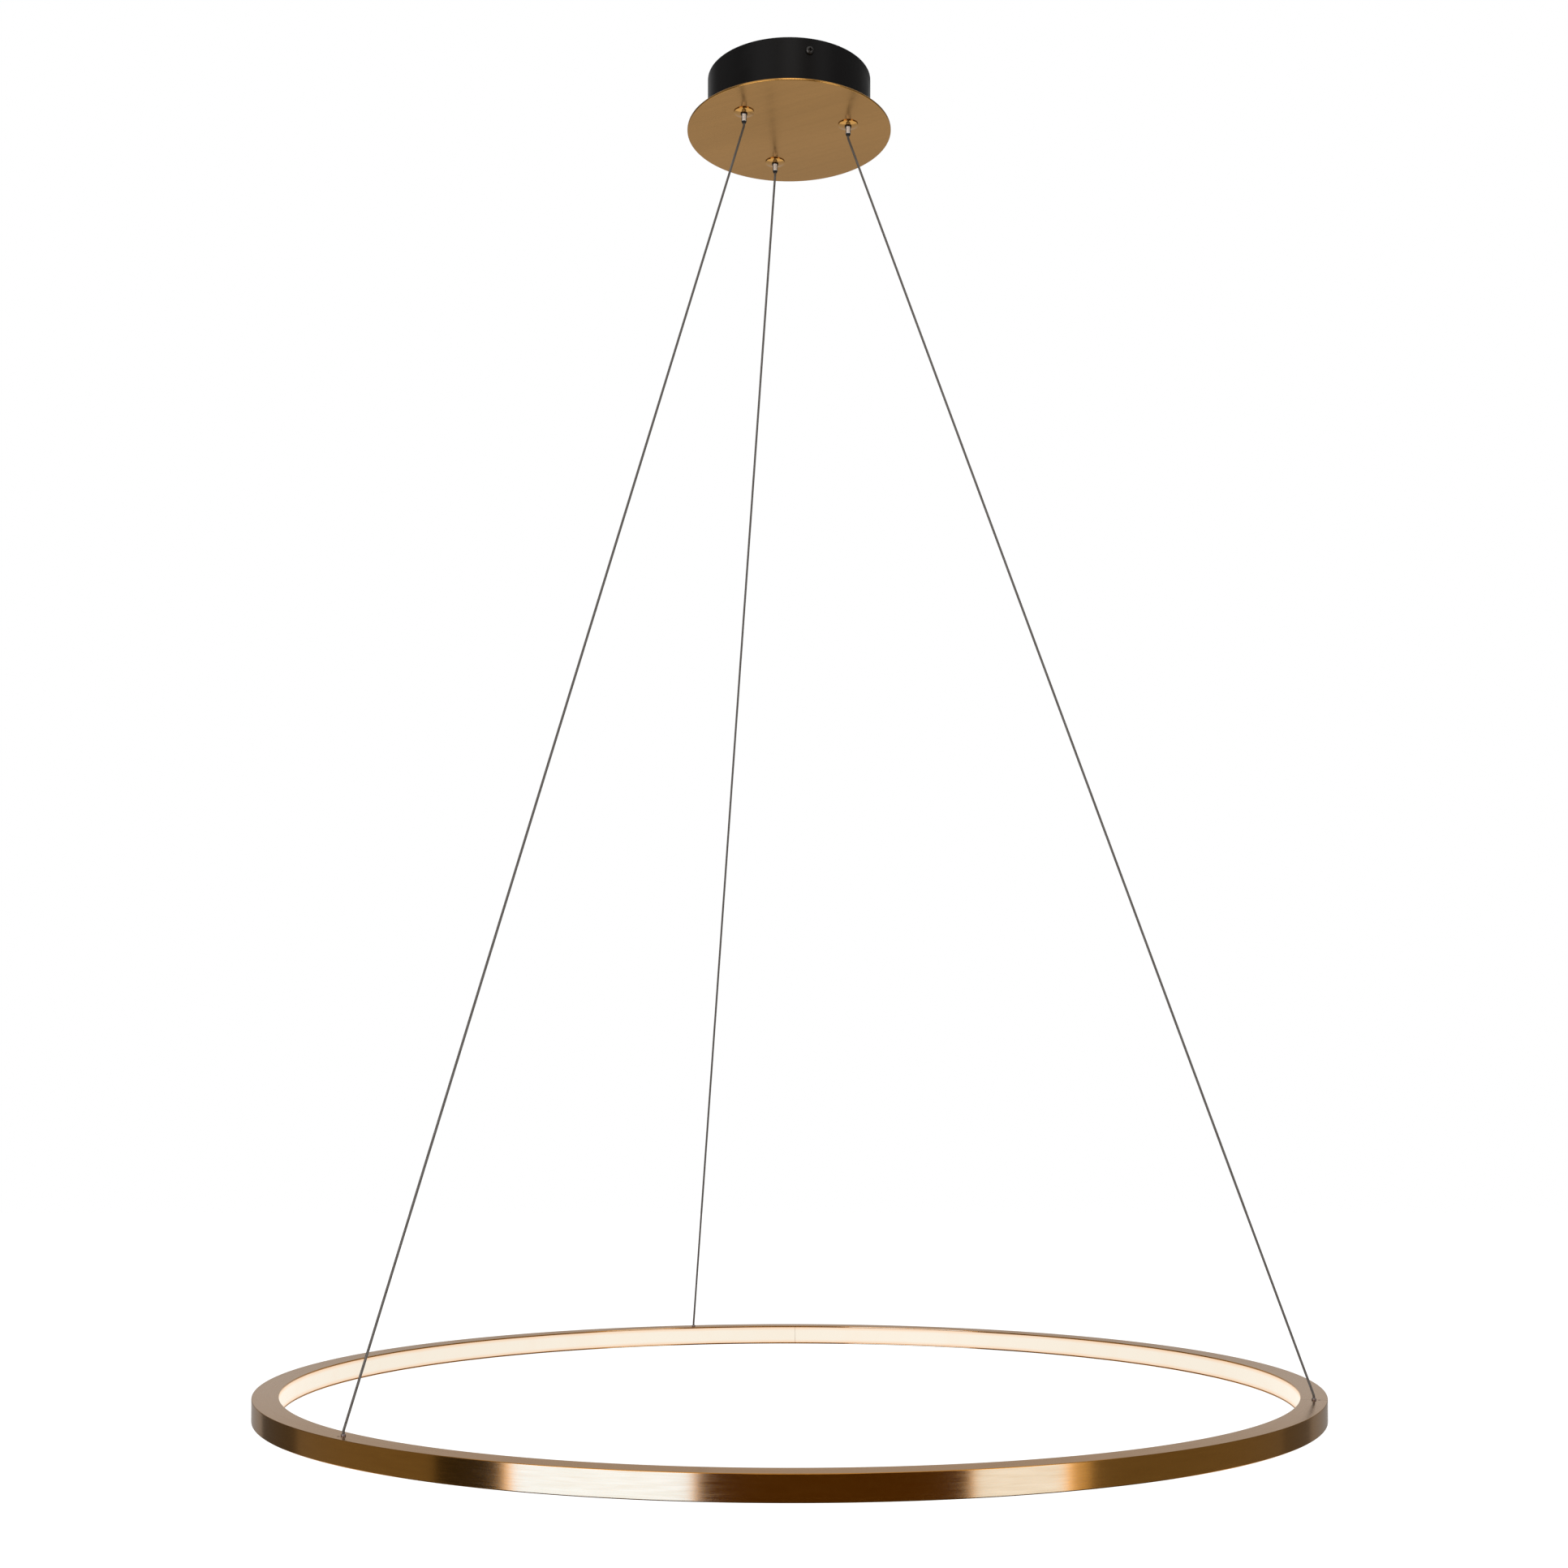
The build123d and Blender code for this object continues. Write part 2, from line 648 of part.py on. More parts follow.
def seam_joiner():
    low = ring_bottom + channel_wall
    inner = clip_r + 2 * clip_rib + 3 * diffuser_gap
    outer = ring_r - channel_wall - hole_gap
    plate = arc_plate(joiner_length, inner, outer, low, low + joiner_thickness, seam_deg)
    hole = rod(joiner_screw_r + thread_gap, channel_wall - 1, channel_wall + joiner_thickness + 1)
    for place in joiner_screw_places():
        plate -= place * hole
    return plate


def joiner_screws():
    length = channel_wall + joiner_thickness
    screw = countersunk_screw(joiner_screw_r, joiner_head_r, length, channel_wall - hole_gap)
    return [place * screw for place in joiner_screw_places()]


# Build
save("ceiling_bracket", ceiling_bracket())
save("canopy_housing", canopy_housing())
save("canopy_plate", canopy_plate())
save("housing_screws", *housing_screws())
save("earth_screw", earth_screw())
save("driver_case", driver_case())
save("driver_cover", driver_cover())
save("driver_board", driver_board())
save("stud_nuts", *stud_nuts())
save("mains_terminal", Pos(mains_terminal_x, mains_terminal_y, floor_top) * terminal(False))
save("output_terminal", Pos(output_terminal_x, output_terminal_y, floor_top) * terminal(True))
save("terminal_screws", *terminal_screws())
save("internal_leads", *internal_leads())
gripper_nut = hex_nut(nut_flats, grip_depth, grip_depth + nut_thickness, stem_r + thread_gap)
save("gripper_nuts", *[at_gripper(deg) * gripper_nut for deg in arm_degs])
save("cable_stops", *[at_gripper(deg) * cable_stop() for deg in arm_degs])
for way, (letter, deg) in enumerate(zip(letters, arm_degs)):
    save(f"gripper_body_{letter}", at_gripper(deg) * gripper_body())
    save(f"guide_bush_{letter}", at_gripper(deg) * guide_bush())
    save(f"gripper_cap_{letter}", at_gripper(deg) * gripper_cap())
    save(f"gripper_spring_{letter}", at_gripper(deg) * gripper_spring())
    save(f"gripper_plunger_{letter}", at_gripper(deg) * gripper_plunger())
    save(f"nozzle_tip_{letter}", at_gripper(deg) * nozzle_tip())
    save(f"gripper_balls_{letter}", *[at_gripper(deg) * ball for ball in gripper_balls()])
    save(f"cable_tail_{letter}", cable_tail(deg, way))
    save(f"suspension_cable_{letter}", suspension_cable(deg))
    save(f"anchor_plate_{letter}", anchor_plate(deg))
    save(f"anchor_nipple_{letter}", anchor_nipple(deg))
    save(f"cable_end_{letter}", cable_end(deg))
save("lock_screws", *lock_screws())
save("ring_leads", *ring_leads())
save("ring_channel", ring_channel())
save("diffuser", diffuser())
save("led_strip", led_strip())
save("led_chips", *led_chips())
save("seam_joiner", seam_joiner())
save("joiner_screws", *joiner_screws())
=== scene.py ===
import json
from math import cos, pi, radians, sin

import bmesh
import bpy
from mathutils import Matrix, Vector


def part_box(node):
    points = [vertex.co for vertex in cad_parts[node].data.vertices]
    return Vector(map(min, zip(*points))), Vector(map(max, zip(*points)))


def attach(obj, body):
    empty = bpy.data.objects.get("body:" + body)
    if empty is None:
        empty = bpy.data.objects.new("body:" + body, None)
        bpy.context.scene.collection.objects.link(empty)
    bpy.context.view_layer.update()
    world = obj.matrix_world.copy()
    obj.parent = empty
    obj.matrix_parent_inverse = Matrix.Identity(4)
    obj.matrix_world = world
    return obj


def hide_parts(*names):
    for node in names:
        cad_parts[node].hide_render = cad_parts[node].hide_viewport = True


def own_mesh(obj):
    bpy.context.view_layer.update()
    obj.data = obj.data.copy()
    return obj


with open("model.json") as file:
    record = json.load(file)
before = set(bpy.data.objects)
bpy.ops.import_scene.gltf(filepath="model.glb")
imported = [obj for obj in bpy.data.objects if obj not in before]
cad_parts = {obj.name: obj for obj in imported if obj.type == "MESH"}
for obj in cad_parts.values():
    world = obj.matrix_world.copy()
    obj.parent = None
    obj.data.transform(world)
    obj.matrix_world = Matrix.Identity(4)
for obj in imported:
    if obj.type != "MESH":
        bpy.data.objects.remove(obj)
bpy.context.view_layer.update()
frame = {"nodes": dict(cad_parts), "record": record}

print("frame loaded,", len(frame["nodes"]), "solids")


# ---- camera ----
view = {
    "place": (-0.005, -1.9003, -1.0185),
    "tilt": 1.99,        # degrees above level
    "lens": 45.07,
    "sensor": 36,
    "shiftUp": 0.168,
    "nearest": 0.01,
}


def setCamera():
    data = bpy.data.cameras.new("camera")
    data.lens = view["lens"]
    data.sensor_width = view["sensor"]
    data.shift_y = view["shiftUp"]
    data.clip_start = view["nearest"]
    camera = bpy.data.objects.new("camera", data)
    camera.location = view["place"]
    camera.rotation_euler = (radians(90 + view["tilt"]), 0, 0)
    bpy.context.scene.collection.objects.link(camera)
    bpy.context.scene.camera = camera


setCamera()
bpy.context.scene.view_settings.view_transform = "Standard"
print("camera set")


# ---- hand tools ----
pastFace = 0.001    # how far a drill reaches past the faces it cuts
weldReach = 2e-6    # points closer than this become one


def newPiece(name):
    # the primitive that was just added, under its own name
    piece = bpy.context.object
    piece.name = name
    piece.data.name = name
    return piece


def editMode():
    bpy.ops.object.mode_set(mode="EDIT")
    bpy.ops.mesh.select_mode(type="VERT")
    bpy.ops.mesh.select_all(action="SELECT")


def objectMode():
    bpy.ops.object.mode_set(mode="OBJECT")


def pickPoints(piece, test):
    bpy.ops.mesh.select_all(action="DESELECT")
    mesh = bmesh.from_edit_mesh(piece.data)
    for point in mesh.verts:
        point.select = bool(test(point.co))
    mesh.select_flush(True)
    bmesh.update_edit_mesh(piece.data)


def pickEdges(piece, test):
    bpy.ops.mesh.select_mode(type="EDGE")
    bpy.ops.mesh.select_all(action="DESELECT")
    mesh = bmesh.from_edit_mesh(piece.data)
    for edge in mesh.edges:
        edge.select = bool(test(edge.verts[0].co, edge.verts[1].co))
    mesh.select_flush(True)
    bmesh.update_edit_mesh(piece.data)


def near(a, b, reach=1e-5):
    return abs(a - b) < reach


def only(piece):
    bpy.ops.object.select_all(action="DESELECT")
    piece.select_set(True)
    bpy.context.view_layer.objects.active = piece


def drawOutline(name, corners):
    # one point is drawn round the section, which stands on the X axis
    bpy.ops.object.select_all(action="DESELECT")
    bpy.ops.mesh.primitive_plane_add(size=0.001)
    piece = newPiece(name)
    editMode()
    bpy.ops.mesh.merge(type="CENTER")
    r, z = corners[0]
    bpy.ops.transform.translate(value=(r, 0, z))
    for nextR, nextZ in corners[1:]:
        bpy.ops.mesh.extrude_vertices_move(TRANSFORM_OT_translate={"value": (nextR - r, 0, nextZ - z)})
        r, z = nextR, nextZ
    bpy.ops.mesh.select_all(action="SELECT")
    bpy.ops.mesh.edge_face_add()
    return piece


def roundCorner(piece, r, z, size, segments=3):
    pickPoints(piece, lambda co: near(co.x, r) and near(co.z, z))
    bpy.ops.mesh.bevel(affect="VERTICES", offset=size, segments=segments)


def spinOutline(piece, steps, degrees=360.0):
    bpy.ops.mesh.select_mode(type="VERT")
    bpy.ops.mesh.select_all(action="SELECT")
    if degrees == 360:
        bpy.ops.mesh.delete(type="ONLY_FACE")
        bpy.ops.mesh.select_all(action="SELECT")
    bpy.ops.mesh.spin(steps=steps, angle=radians(degrees), center=(0, 0, 0), axis=(0, 0, 1))
    bpy.ops.mesh.select_all(action="SELECT")
    bpy.ops.mesh.remove_doubles(threshold=weldReach)
    bpy.ops.mesh.normals_make_consistent(inside=False)
    objectMode()


def cutAway(piece, tool):
    # takes the tool's shape out of the piece
    only(piece)
    cut = piece.modifiers.new("cut", "BOOLEAN")
    cut.operation = "DIFFERENCE"
    cut.solver = "EXACT"
    cut.object = tool
    bpy.ops.object.modifier_apply(modifier=cut.name)
    bpy.data.objects.remove(tool)


def joinTools(tools):
    bpy.ops.object.select_all(action="DESELECT")
    for tool in tools:
        tool.select_set(True)
    bpy.context.view_layer.objects.active = tools[0]
    bpy.ops.object.join()
    return bpy.context.object


def drill(r, low, high, x=0.0, y=0.0, sides=48):
    bpy.ops.object.select_all(action="DESELECT")
    bpy.ops.mesh.primitive_cylinder_add(vertices=sides, radius=r, depth=high - low,
                                        location=(x, y, (low + high) / 2))
    tool = bpy.context.object
    bpy.ops.object.transform_apply(location=True, rotation=True, scale=True)
    return tool


def turnAndMove(piece, degrees=0.0, move=(0, 0, 0)):
    # moved first and then turned, in the mesh, so the object stays at the origin
    only(piece)
    editMode()
    bpy.ops.transform.translate(value=move)
    bpy.ops.transform.rotate(value=-radians(degrees), orient_axis="Z", center_override=(0, 0, 0))
    objectMode()


def copyPiece(piece, name):
    copy = piece.copy()
    copy.data = piece.data.copy()
    copy.name = name
    copy.data.name = name
    bpy.context.scene.collection.objects.link(copy)
    return copy


def smooth(piece, degrees=32):
    only(piece)
    bpy.ops.object.shade_smooth_by_angle(angle=radians(degrees))
    evenNormals = piece.modifiers.new("evenNormals", "WEIGHTED_NORMAL")
    evenNormals.keep_sharp = True
    bpy.ops.object.modifier_apply(modifier=evenNormals.name)


def dress(piece, finish, body, slotName, *nodes):
    piece.data.materials.clear()
    piece.data.materials.append(finish)
    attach(piece, body)
    if nodes:
        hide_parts(*nodes)


# ---- finishes: shared effects ----
def newGroup(name, inputs, outputs):
    group = bpy.data.node_groups.new(name, "ShaderNodeTree")
    for label, value in inputs.items():
        socket = group.interface.new_socket(name=label, in_out="INPUT", socket_type="NodeSocketFloat")
        socket.default_value = value
    for label in outputs:
        group.interface.new_socket(name=label, in_out="OUTPUT", socket_type="NodeSocketFloat")
    return group, group.nodes.new("NodeGroupInput"), group.nodes.new("NodeGroupOutput")


def mathNode(tree, operation, first, second=None, clamp=False):
    node = tree.nodes.new("ShaderNodeMath")
    node.operation = operation
    node.use_clamp = clamp
    for socket, value in zip(node.inputs, (first, second)):
        if isinstance(value, bpy.types.NodeSocket):
            tree.links.new(value, socket)
        elif value is not None:
            socket.default_value = value
    return node.outputs[0]


def noiseNode(tree, vector, scale, detail=3.0, roughness=0.5):
    node = tree.nodes.new("ShaderNodeTexNoise")
    tree.links.new(vector, node.inputs["Vector"])
    node.inputs["Detail"].default_value = detail
    node.inputs["Roughness"].default_value = roughness
    if isinstance(scale, bpy.types.NodeSocket):
        tree.links.new(scale, node.inputs["Scale"])
    else:
        node.inputs["Scale"].default_value = scale
    return node.outputs["Fac"]


def rangeNode(tree, value, fromLow, fromHigh, toLow, toHigh):
    node = tree.nodes.new("ShaderNodeMapRange")
    tree.links.new(value, node.inputs["Value"])
    node.inputs["From Min"].default_value = fromLow
    node.inputs["From Max"].default_value = fromHigh
    node.inputs["To Min"].default_value = toLow
    node.inputs["To Max"].default_value = toHigh
    return node.outputs["Result"]


def addBrushLines(group, start, end, along, across, bandShare):
    # fine lines and wider bands, long one way and narrow the other two
    for label, share, detail in (("Lines", 1.0, 4.0), ("Bands", bandShare, 2.0)):
        join = group.nodes.new("ShaderNodeCombineXYZ")
        fineness = mathNode(group, "MULTIPLY", start.outputs["Fineness"], share)
        group.links.new(mathNode(group, "MULTIPLY", along, start.outputs["Run"]), join.inputs[0])
        for value, socket in zip(across, join.inputs[1:]):
            group.links.new(mathNode(group, "MULTIPLY", value, fineness), socket)
        group.links.new(noiseNode(group, join.outputs[0], 1.0, detail), end.inputs[label])


def makeRoundBrushing():
    # fine lines that run round the Z axis, on walls and on flat faces alike
    group, start, end = newGroup("roundBrushing", {"Run": 12, "Fineness": 1500}, ("Lines", "Bands"))
    coords = group.nodes.new("ShaderNodeTexCoord")
    split = group.nodes.new("ShaderNodeSeparateXYZ")
    group.links.new(coords.outputs["Object"], split.inputs[0])
    x, y, z = split.outputs
    turn = mathNode(group, "ABSOLUTE", mathNode(group, "ARCTAN2", y, x))
    squareX = mathNode(group, "MULTIPLY", x, x)
    squareY = mathNode(group, "MULTIPLY", y, y)
    r = mathNode(group, "SQRT", mathNode(group, "ADD", squareX, squareY))
    addBrushLines(group, start, end, turn, (z, r), 0.2)
    return group


def makeStraightBrushing():
    # fine lines that run along one direction of the sheet
    inputs = {"Run": 12, "Fineness": 900, "Turn": 0.0}
    group, start, end = newGroup("straightBrushing", inputs, ("Lines", "Bands"))
    coords = group.nodes.new("ShaderNodeTexCoord")
    turned = group.nodes.new("ShaderNodeVectorRotate")
    turned.rotation_type = "Z_AXIS"
    group.links.new(coords.outputs["Object"], turned.inputs["Vector"])
    group.links.new(start.outputs["Turn"], turned.inputs["Angle"])
    split = group.nodes.new("ShaderNodeSeparateXYZ")
    group.links.new(turned.outputs[0], split.inputs[0])
    x, y, z = split.outputs
    addBrushLines(group, start, end, x, (y, z), 0.12)
    return group


def makeHandling():
    # faint smudges and dust, as on a light that has been put up by hand
    group, start, end = newGroup("handling", {"Size": 25, "Dust": 900}, ("Smudge", "Dust"))
    coords = group.nodes.new("ShaderNodeTexCoord")
    place = coords.outputs["Object"]
    smudge = noiseNode(group, place, start.outputs["Size"], 3.0, 0.6)
    group.links.new(rangeNode(group, smudge, 0.45, 0.7, 0, 1), end.inputs["Smudge"])
    dust = noiseNode(group, place, start.outputs["Dust"], 1.0)
    group.links.new(rangeNode(group, dust, 0.72, 0.8, 0, 1), end.inputs["Dust"])
    return group


def makeGrain():
    # fine even skin of lacquer and moulded plastic
    group, start, end = newGroup("grain", {"Size": 2500}, ("Height",))
    coords = group.nodes.new("ShaderNodeTexCoord")
    skin = noiseNode(group, coords.outputs["Object"], start.outputs["Size"], 2.0)
    group.links.new(skin, end.inputs["Height"])
    return group


def makeStrands():
    # twisted wires under the sheath: U runs along the cable, V round it
    group, start, end = newGroup("strands", {"Wires": 6, "Twists": 90}, ("Height",))
    coords = group.nodes.new("ShaderNodeTexCoord")
    split = group.nodes.new("ShaderNodeSeparateXYZ")
    group.links.new(coords.outputs["UV"], split.inputs[0])
    along = mathNode(group, "MULTIPLY", split.outputs[0], start.outputs["Twists"])
    across = mathNode(group, "MULTIPLY", split.outputs[1], start.outputs["Wires"])
    phase = mathNode(group, "MULTIPLY", mathNode(group, "ADD", along, across), 2 * pi)
    group.links.new(rangeNode(group, mathNode(group, "SINE", phase), -1, 1, 0, 1), end.inputs["Height"])
    return group


roundBrushing = makeRoundBrushing()
straightBrushing = makeStraightBrushing()
handling = makeHandling()
grain = makeGrain()
strands = makeStrands()


# ---- finishes: materials ----
def startFinish(name, colour, metallic, roughness):
    finish = bpy.data.materials.new(name)
    finish.use_nodes = True
    shader = finish.node_tree.nodes["Principled BSDF"]
    shader.inputs["Base Color"].default_value = (*colour, 1)
    shader.inputs["Metallic"].default_value = metallic
    shader.inputs["Roughness"].default_value = roughness
    return finish, finish.node_tree, shader


def placeGroup(tree, group, **values):
    node = tree.nodes.new("ShaderNodeGroup")
    node.node_tree = group
    for label, value in values.items():
        node.inputs[label].default_value = value
    return node


def tint(tree, shader, mask, low, high, target="Base Color"):
    # colour between two values after a mask
    mix = tree.nodes.new("ShaderNodeMix")
    mix.data_type = "RGBA"
    tree.links.new(mask, mix.inputs["Factor"])
    mix.inputs["A"].default_value = (*low, 1)
    mix.inputs["B"].default_value = (*high, 1)
    tree.links.new(mix.outputs["Result"], shader.inputs[target])


def dent(tree, shader, height, depth):
    bump = tree.nodes.new("ShaderNodeBump")
    bump.inputs["Distance"].default_value = depth
    tree.links.new(height, bump.inputs["Height"])
    tree.links.new(bump.outputs["Normal"], shader.inputs["Normal"])


noiseSpread = (0.3, 0.7)    # where most of a noise lies


def vary(tree, shader, mask, low, high):
    tree.links.new(rangeNode(tree, mask, *noiseSpread, low, high), shader.inputs["Roughness"])


bronze = {
    "dark": (0.42, 0.18, 0.03),
    "light": (0.5, 0.225, 0.042),
    "run": 14, "fineness": 1600,
    "edgeTint": (0.9, 0.86, 0.78),
    "smooth": 0.14, "rough": 0.22,
    "anisotropy": 0.85, "lineTurn": 0.25,
    "lineDepth": 1.5e-6,
}


def bronzeFinish():
    finish, tree, shader = startFinish("bronzeAnodised", bronze["light"], 1.0, bronze["rough"])
    brush = placeGroup(tree, roundBrushing, Run=bronze["run"], Fineness=bronze["fineness"])
    tint(tree, shader, brush.outputs["Bands"], bronze["dark"], bronze["light"])
    vary(tree, shader, brush.outputs["Lines"], bronze["smooth"], bronze["rough"])
    dent(tree, shader, brush.outputs["Lines"], bronze["lineDepth"])
    shader.inputs["Anisotropic"].default_value = bronze["anisotropy"]
    shader.inputs["Anisotropic Rotation"].default_value = bronze["lineTurn"]
    shader.inputs["Specular Tint"].default_value = (*bronze["edgeTint"], 1)
    tangent = tree.nodes.new("ShaderNodeTangent")
    tangent.direction_type = "RADIAL"
    tangent.axis = "Z"
    tree.links.new(tangent.outputs[0], shader.inputs["Tangent"])
    return finish


gold = {
    "dark": (0.4, 0.205, 0.052),
    "light": (0.49, 0.255, 0.072),
    "run": 5, "fineness": 160, "turn": 0.5,
    "smooth": 0.2, "rough": 0.27,
    "lineDepth": 1e-6,
}


def brushedGoldFinish():
    finish, tree, shader = startFinish("brushedGold", gold["light"], 1.0, gold["rough"])
    brush = placeGroup(tree, straightBrushing, Run=gold["run"], Fineness=gold["fineness"],
                       Turn=gold["turn"])
    tint(tree, shader, brush.outputs["Bands"], gold["dark"], gold["light"])
    vary(tree, shader, brush.outputs["Lines"], gold["smooth"], gold["rough"])
    dent(tree, shader, brush.outputs["Lines"], gold["lineDepth"])
    return finish


turnedGold = {
    "dark": (0.42, 0.21, 0.05),
    "light": (0.54, 0.29, 0.08),
    "run": 20, "fineness": 5000,
    "smooth": 0.1, "rough": 0.18,
    "smudgeSize": 120,
}


def turnedGoldFinish():
    # the domed flanges, turned on a lathe
    finish, tree, shader = startFinish("turnedGold", turnedGold["light"], 1.0, turnedGold["rough"])
    brush = placeGroup(tree, straightBrushing, Run=turnedGold["run"], Fineness=turnedGold["fineness"])
    marks = placeGroup(tree, handling, Size=turnedGold["smudgeSize"])
    tint(tree, shader, brush.outputs["Bands"], turnedGold["dark"], turnedGold["light"])
    vary(tree, shader, marks.outputs["Smudge"], turnedGold["smooth"], turnedGold["rough"])
    return finish


lacquer = {
    "clean": (0.0032, 0.0027, 0.0027),
    "dusty": (0.006, 0.0055, 0.005),
    "smooth": 0.36, "rough": 0.46,
    "gloss": 0.12,
    "smudgeSize": 18, "dustSize": 1300,
    "grainSize": 1400, "orangePeel": 4e-6,
}


def lacquerFinish():
    finish, tree, shader = startFinish("blackLacquer", lacquer["clean"], 0.0, lacquer["smooth"])
    marks = placeGroup(tree, handling, Size=lacquer["smudgeSize"], Dust=lacquer["dustSize"])
    tint(tree, shader, marks.outputs["Dust"], lacquer["clean"], lacquer["dusty"])
    vary(tree, shader, marks.outputs["Smudge"], lacquer["smooth"], lacquer["rough"])
    shader.inputs["Specular IOR Level"].default_value = lacquer["gloss"]
    skin = placeGroup(tree, grain, Size=lacquer["grainSize"])
    dent(tree, shader, skin.outputs["Height"], lacquer["orangePeel"])
    return finish


wear = {"metalRun": 40, "metalSmudge": 90, "plasticSmudge": 40, "plasticSpread": 0.06}


def metalFinish(name, dark, light, smoothness, roughness, fineness, depth):
    finish, tree, shader = startFinish(name, light, 1.0, roughness)
    brush = placeGroup(tree, straightBrushing, Run=wear["metalRun"], Fineness=fineness)
    marks = placeGroup(tree, handling, Size=wear["metalSmudge"])
    tint(tree, shader, marks.outputs["Smudge"], light, dark)
    vary(tree, shader, brush.outputs["Lines"], smoothness, roughness)
    dent(tree, shader, brush.outputs["Lines"], depth)
    return finish


def plasticFinish(name, dark, light, roughness, grainSize, depth):
    finish, tree, shader = startFinish(name, light, 0.0, roughness)
    marks = placeGroup(tree, handling, Size=wear["plasticSmudge"])
    skin = placeGroup(tree, grain, Size=grainSize)
    tint(tree, shader, marks.outputs["Smudge"], light, dark)
    spread = wear["plasticSpread"]
    vary(tree, shader, marks.outputs["Smudge"], roughness - spread, roughness + spread)
    dent(tree, shader, skin.outputs["Height"], depth)
    return finish


nozzle = {
    # middle is the colour of the painted highlight, side the colour of the painted shade towards the
    # silhouette
    "middle": (0.86, 0.82, 0.78),
    "side": (0.05, 0.035, 0.025),
    "paintedShadeStart": 0.22, "paintedShadeEnd": 0.62,
    "metallic": 0.4,
    "roughness": 0.3, "smooth": 0.24, "rough": 0.34,
    "smudgeSize": 300,
}


def nozzleFinish():
    # turned nickel with a painted highlight in the middle and painted shade where the surface turns away
    # from the view
    finish, tree, shader = startFinish("nozzleNickel", nozzle["middle"], nozzle["metallic"],
                                       nozzle["roughness"])
    marks = placeGroup(tree, handling, Size=nozzle["smudgeSize"])
    weight = tree.nodes.new("ShaderNodeLayerWeight")
    # painted shade: the colour darkens with the facing angle, so the middle looks lit and the sides shaded
    side = rangeNode(tree, weight.outputs["Facing"], nozzle["paintedShadeStart"], nozzle["paintedShadeEnd"], 0, 1)
    tint(tree, shader, side, nozzle["middle"], nozzle["side"])
    vary(tree, shader, marks.outputs["Smudge"], nozzle["smooth"], nozzle["rough"])
    return finish


sheath = {
    "dark": (0.07, 0.06, 0.052),
    "light": (0.115, 0.1, 0.088),
    "roughness": 0.35,
    "wires": 6, "twists": 85,
    "strandDepth": 4e-5,
}


def sheathFinish():
    finish, tree, shader = startFinish("cableSheath", sheath["light"], 0.0, sheath["roughness"])
    wire = placeGroup(tree, strands, Wires=sheath["wires"], Twists=sheath["twists"])
    tint(tree, shader, wire.outputs["Height"], sheath["dark"], sheath["light"])
    dent(tree, shader, wire.outputs["Height"], sheath["strandDepth"])
    return finish


opal = {
    "colour": (0.1, 0.09, 0.075),
    "middle": (1.0, 0.905, 0.765),
    "border": (1.0, 0.6, 0.32),
    "strength": 0.84,
    "borderWidth": 0.0052,
    "roughness": 0.45,
    "cloudSize": 30, "cloudDepth": 0.06,
    "grainSize": 3000, "grainDepth": 3e-6,
}


def opalFinish(middleHeight, halfHeight):
    # the strip behind it lights the middle, and the borders are warmer
    finish, tree, shader = startFinish("opalDiffuser", opal["colour"], 0.0, opal["roughness"])
    coords = tree.nodes.new("ShaderNodeTexCoord")
    split = tree.nodes.new("ShaderNodeSeparateXYZ")
    tree.links.new(coords.outputs["Object"], split.inputs[0])
    offset = mathNode(tree, "ABSOLUTE", mathNode(tree, "SUBTRACT", split.outputs[2], middleHeight))
    fade = rangeNode(tree, offset, halfHeight - opal["borderWidth"], halfHeight, 0, 1)
    cloud = noiseNode(tree, coords.outputs["Object"], opal["cloudSize"], 2.0)
    depth = opal["cloudDepth"]
    mask = mathNode(tree, "ADD", fade, rangeNode(tree, cloud, *noiseSpread, -depth, depth), clamp=True)
    tint(tree, shader, mask, opal["middle"], opal["border"], "Emission Color")
    shader.inputs["Emission Strength"].default_value = opal["strength"]
    skin = placeGroup(tree, grain, Size=opal["grainSize"])
    dent(tree, shader, skin.outputs["Height"], opal["grainDepth"])
    return finish


ringLow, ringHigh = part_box("ring_channel")
ringMiddle = (ringLow.z + ringHigh.z) / 2
finishes = {
    "bronze_anodised": bronzeFinish(),
    "brushed_gold": brushedGoldFinish(),
    "black_lacquer": lacquerFinish(),
    "zinc_steel": metalFinish("zincSteel", (0.42, 0.42, 0.43), (0.6, 0.6, 0.61), 0.3, 0.45, 600, 5e-6),
    "screw_steel": metalFinish("screwSteel", (0.5, 0.49, 0.47), (0.66, 0.65, 0.63), 0.2, 0.32, 3000, 2e-6),
    "black_screw": metalFinish("blackScrew", (0.02, 0.019, 0.018), (0.045, 0.042, 0.04), 0.3, 0.42, 3000,
                               2e-6),
    "nickel": metalFinish("nickel", (0.45, 0.42, 0.38), (0.6, 0.56, 0.51), 0.28, 0.4, 4000, 1e-6),
    "black_nylon": plasticFinish("blackNylon", (0.02, 0.02, 0.02), (0.012, 0.012, 0.012), 0.42, 4000, 8e-6),
    "cable_sheath": sheathFinish(),
    "spring_steel": metalFinish("springSteel", (0.4, 0.38, 0.36), (0.58, 0.56, 0.53), 0.2, 0.3, 5000, 1e-6),
    "opal": opalFinish(ringMiddle, (ringHigh.z - ringLow.z) / 2),
    "led_board": plasticFinish("ledBoard", (0.72, 0.71, 0.68), (0.8, 0.8, 0.78), 0.4, 2000, 3e-6),
    "led_phosphor": plasticFinish("ledPhosphor", (0.75, 0.55, 0.12), (0.85, 0.66, 0.18), 0.35, 5000, 3e-6),
    "white_case": plasticFinish("whiteCase", (0.68, 0.67, 0.64), (0.78, 0.77, 0.75), 0.45, 1800, 1.2e-5),
    "circuit_board": plasticFinish("circuitBoard", (0.012, 0.07, 0.03), (0.02, 0.11, 0.045), 0.4, 900,
                                   8e-6),
    "wire_insulation": plasticFinish("wireInsulation", (0.02, 0.09, 0.26), (0.03, 0.13, 0.36), 0.4, 3000,
                                     5e-6),
}
nylonGloss = 0.15
